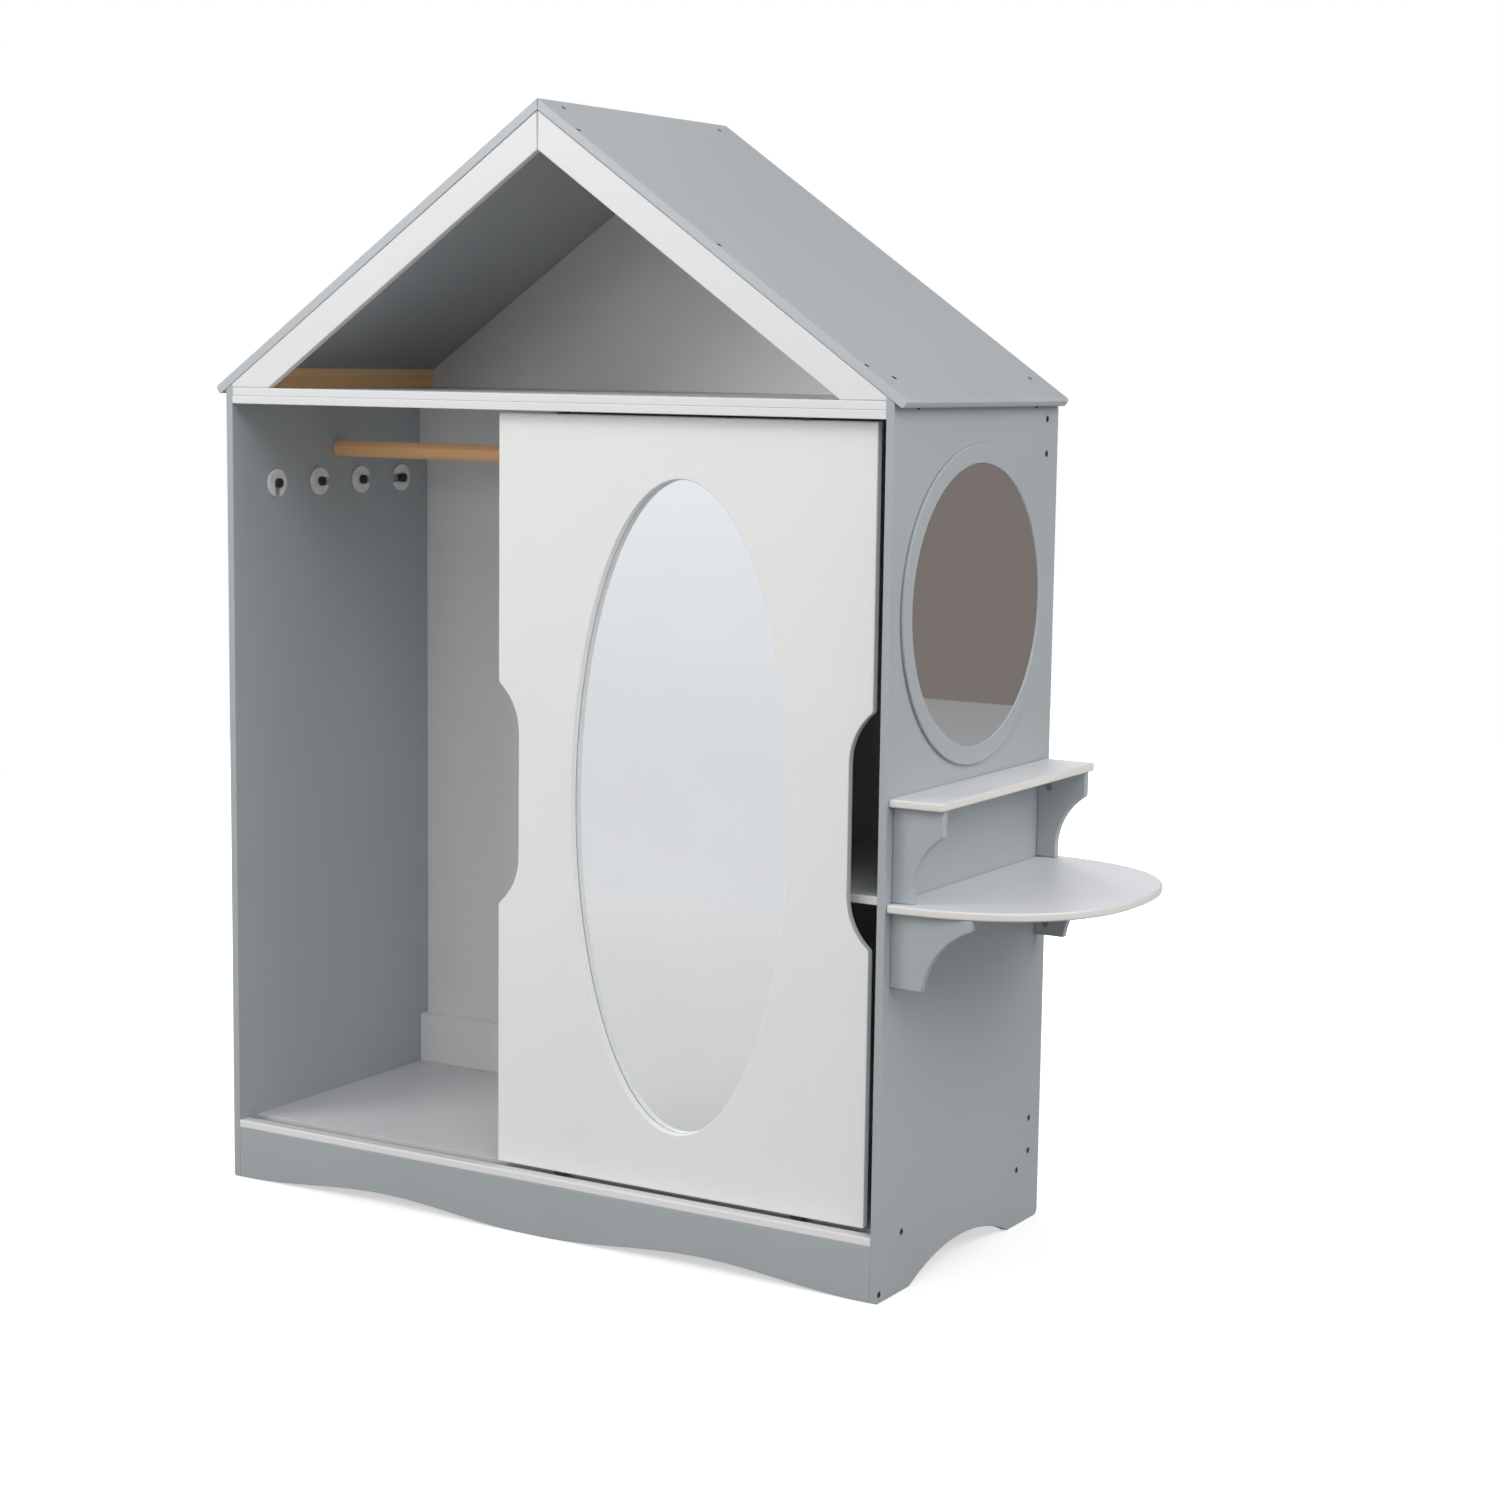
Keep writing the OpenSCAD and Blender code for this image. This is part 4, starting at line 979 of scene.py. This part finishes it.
def glass(place, half_width, half_length, thickness):
    """A round or oval mirror glass, whose last point stops one step short of its first."""
    return plate(
        place, 0.8, mirror_glass, half_width=half_width, half_length=half_length, thickness=thickness,
        power=2.0, first_turn=0.0, last_turn=360 * (glass_points - 1) / glass_points, points=glass_points,
    )


facing_front = Matrix.Translation((door_x, 33.5, door_z)) @ Matrix.Rotation(quarter, 4, "X")
fit("door_mirror_oval", "door_mirror", glass(facing_front, 165.5, 415.0, 2.2), mirror_glass, body="door")
fibrous = mottled("raw_fibreboard", (650.0, 4.0), (0.75, 1.25), (0.0, 0.0), (650.0, 4.0), 0.0001)
fibreboard = mottled_material("fibreboard", fibrous, (0.30, 0.19, 0.11), 0.8, 0.4)
coat(fibreboard, "door_mirror_spacer", "door_mirror_backing")
fasteners("backing_screw_set", "backing_screws", backing_screws, backing_screw_sizes, "door")

# ---- Rollers and guides ----
# Two nylon rollers on steel axles carry the door, in housings pressed into its lower edge, and
# two nylon guides run in the track rail over it. They keep the CAD's own shapes. The nylon parts are
# coloured near black as painted shade, to stand for the dark gaps they run in.

dark_nylon = mottled_material("dark_nylon", moulded, (0.03, 0.03, 0.033), 0.5, 0.5)
for side in ("left", "right"):
    coat(dark_nylon, "roller_housing_" + side, "roller_wheel_" + side, "top_guide_" + side)
    coat(dark_steel, "roller_axle_" + side)

# ---- Round side mirror ----
# A round mirror lies flat on the right side panel inside a painted ring, whose inner and outer
# rims are well rounded.

mirror_middle = (middle_y, 824)
ring_outer, ring_inner, ring_thick = 196, 172.5, 4.5
ring_steps = 128
ring_rims = [
    arc(mirror_middle, radius, 0, 360 * (ring_steps - 1) / ring_steps, ring_steps - 1)
    for radius in (ring_outer, ring_inner)
]
ring = board("x", width, ring_thick, *ring_rims, ease=1.6)
fit("side_mirror_frame", "side_mirror_ring", ring, grey_paint)
facing_right = Matrix.Translation((width, *mirror_middle)) @ Matrix.Rotation(quarter, 4, "Y")
fit("side_mirror_round", "side_mirror_glass", glass(facing_right, 172.3, 172.3, 3.0), mirror_glass)

# ---- Vanity table and shelf ----
# The table is a white board whose front follows one squared curve from wall to wall, doweled on
# two lower brackets. A narrow shelf stands over it on two upper ones.

# The table's and shelf's upright edges have a warm cream tint of their own, and are painted lighter than their
# level tops, as painted light.
table_paint = paint("table_paint", (0.69, 0.70, 0.72), (1.17, 1.13, 1.04), 0.36, 0.012, 0.25)
table_under, ledge_under = 475, 600.5
ledge_reach = 70
table = plate(
    Matrix.Translation((width, middle_y, table_under)), 2.6, table_paint, half_width=231.0, half_length=217.0,
    thickness=board_thick, power=2.4, first_turn=-90.0, last_turn=90.0, points=97,
)
fit("vanity_table_top", "vanity_table", table, table_paint)
ledge_outline = oblong(width, 5, width + ledge_reach, 435, radius=[1.5, 5, 5, 1.5], steps=6)
saw("vanity_ledge", "vanity_shelf", table_paint, "z", ledge_under, ledge_outline, ease=2.4, slot="white_paint")

# ---- Brackets ----
# Four painted brackets with a hollow front edge hold the table and the shelf. Bolts through the
# side panel run into steel barrel nuts that are let into their inner faces.

bow, bow_steps = 14, 20


def bracket_outline(top, height, reach, foot, straight):
    """A bracket's outline, whose hollow is an arc that bows in, with two corners taken off."""
    first, last = Vector((width + foot, top - height)), Vector((width + reach, top - straight))
    half = (last - first).length / 2
    radius = (half ** 2 + bow ** 2) / (2 * bow)
    along = (last - first).normalized()
    centre = (first + last) / 2 + Vector((along.y, -along.x)) * (radius - bow)
    hollow = [
        tuple(centre + (first - centre).slerp(last - centre, i / bow_steps) * radius) for i in range(bow_steps + 1)]
    corners = [(width, top), (width, top - height)] + hollow + [(width + reach, top)]
    return rounded(corners, [0, 0.8, 1.5] + [0] * (len(hollow) - 2) + [4, 0])


barrel_x = width + 16
barrel_radius, barrel_length = 4.75, 9.0
barrel_hole_sizes = dict(
    head_radius=barrel_radius, head_height=barrel_length, shank_radius=2.0, length=9.1, chamfer=0.01,
    socket_radius=1.0, socket_depth=0.1, socket_lobes=4.0, lobe_depth=0.5,
)
barrel_places = []
for end, bracket_y, mouth_y, way in (("front", 16.5, 27.0, 1), ("rear", 413.0, 413.0, -1)):
    for level, barrel_z, outline in zip(("upper", "lower"), bracket_bolt_zs, (
        bracket_outline(ledge_under, 115, 66.5, 28, 31.5), bracket_outline(table_under, 92, 105.5, 41.5, 13.3),
    )):
        bracket = "bracket_" + level + "_"
        saw(bracket + "board_" + end, bracket + end, grey_paint, "y", bracket_y, outline,
            ([((barrel_x, mouth_y, barrel_z), (0, way, 0))], barrel_hole_sizes), ease=1.4)
        barrel_places.append(((barrel_x, mouth_y - way * barrel_length, barrel_z), (0, way, 0)))

barrel = turned_part([
    (0, 0), (4.35, 0), (barrel_radius, 0.4), (barrel_radius, 8.55), (4.3, barrel_length), (2.6, barrel_length),
    (2.3, 7.6), (0, 7.4),
], sides=40)
plain_steel = mottled_material("plain_steel", blacked, (0.30, 0.285, 0.26), 0.45, 0.3, Metallic=0.5)
barrels = repeated(barrel, barrel_places, plain_steel)
fit("barrel_nut_set", "bracket_barrel_nuts", barrels, plain_steel)

# ---- Studio ----
# A plain pale floor, a white surround and soft lamps. The surround shows white to the camera, and
# greyer on the side that the round mirror faces.

floor_mesh = bpy.data.meshes.new("floor")
floor_corners = (-3.6, -2.2), (3.9, -2.2), (3.9, 5.4), (-3.6, 5.4)
floor_mesh.from_pydata([(x, y, 0) for x, y in floor_corners], [], [(0, 1, 2, 3)])
floor = linked("floor", floor_mesh)
floor_paint = bpy.data.materials.new("floor_paint")
floor_paint.use_nodes = True
floor_tree = floor_paint.node_tree
floor_tree.nodes.clear()
floor_ray = add_node(floor_tree, "ShaderNodeLightPath").outputs
floor_tone = blend(floor_ray["Is Diffuse Ray"], (0.63, 0.62, 0.625), (0.255, 0.25, 0.245))
floor_diffuse = made(floor_tree, "ShaderNodeBsdfDiffuse", {"Color": floor_tone})
floor_at = made(floor_tree, "ShaderNodeTexCoord", output="Object")
floor_reach = made(floor_tree, "ShaderNodeVectorMath", {0: floor_at}, "Value", operation="LENGTH")
floor_fade = spread(floor_reach, 0.55, 1.0, 0.9, 2.0, "SMOOTHSTEP")
floor_glow = made(floor_tree, "ShaderNodeEmission", {
    "Color": (1, 1, 1), "Strength": calc("MULTIPLY", floor_ray["Is Camera Ray"], floor_fade)})
floor_sum = made(floor_tree, "ShaderNodeAddShader", {0: floor_diffuse, 1: floor_glow})
add_node(floor_tree, "ShaderNodeOutputMaterial", {"Surface": floor_sum})
floor.data.materials.append(floor_paint)

world = bpy.data.worlds.new("studio")
world.use_nodes = True
bpy.context.scene.world = world
sky = world.node_tree
sky.nodes.clear()
sky_ray = add_node(sky, "ShaderNodeLightPath").outputs
sky_way = made(sky, "ShaderNodeTexCoord", output="Generated")
sky_rise = coordinates(sky_way)[2]
side_way = made(sky, "ShaderNodeVectorMath", {
    0: sky_way, 1: (0.75, 0.66, 0.0)}, "Value", operation="DOT_PRODUCT")
side_mask = spread(side_way, 0.0, 1.0, 0.2, 0.6, "SMOOTHSTEP")
wall_mask = spread(sky_rise, 0.0, 1.0, -0.15, -0.02, "SMOOTHSTEP")
mirror_view = blend(side_mask, blend(wall_mask, (0.78, 0.78, 0.80), (0.90, 0.925, 0.975)), (0.21, 0.18, 0.17))
soft_view = blend(sky_ray["Is Glossy Ray"], spread(sky_rise, 0.22, 0.52, -0.2, 1.0), mirror_view)
white_ray = calc("MAXIMUM", sky_ray["Is Camera Ray"], sky_ray["Is Transmission Ray"])
sky_back = made(sky, "ShaderNodeBackground", {
    "Color": blend(white_ray, soft_view, (1, 1, 1)), "Strength": 1.0})
add_node(sky, "ShaderNodeOutputWorld", {"Surface": sky_back})

for name, place, target, size, power in (
    ("key", (2.3, -2.5, 3.4), (0, 0, 0.8), 1.8, 35.5),
    ("fill", (-2.4, -3.1, 2.6), (0, 0, 0.9), 2.0, 71),
    ("right_light", (3.4, 0.4, 3.0), (0.3, 0, 0.8), 2.4, 44),
    ("front_light", (-0.5, -4.4, 1.75), (0, 0, 0.9), 1.6, 18),
    ("low_light", (3.4, -0.4, 1.7), (0.4, 0, 0.7), 2.4, 22),
    ("rear_light", (-2.2, 3.0, 2.0), (0, 0, 0.8), 1.4, 66),
):
    softbox = bpy.data.lights.new(name, "AREA")
    softbox.size, softbox.energy = size, power
    lamp = linked(name, softbox)
    lamp.location = place
    lamp.rotation_euler = (Vector(target) - Vector(place)).to_track_quat("-Z", "Y").to_euler()

camera_data = bpy.data.cameras.new("camera")
camera_data.lens = 68.93
camera_data.sensor_width = 36
camera = linked("camera", camera_data)
camera_place = (1.9507, -3.1497, 1.1141)
side_turn, down_turn, roll = (math.radians(value) for value in (30.80, 7.69, 0.77))
across = Vector((math.cos(side_turn), math.sin(side_turn), 0))
ahead = Vector((
    -math.sin(side_turn) * math.cos(down_turn), math.cos(side_turn) * math.cos(down_turn), -math.sin(down_turn),
))
upward = across.cross(ahead)
across_rolled = across * math.cos(roll) + upward * math.sin(roll)
upward_rolled = upward * math.cos(roll) - across * math.sin(roll)
camera_turn = Matrix((across_rolled, upward_rolled, -ahead)).transposed().to_4x4()
camera.matrix_world = Matrix.Translation(camera_place) @ camera_turn
bpy.context.scene.camera = camera
bpy.context.scene.view_settings.view_transform = "Standard"
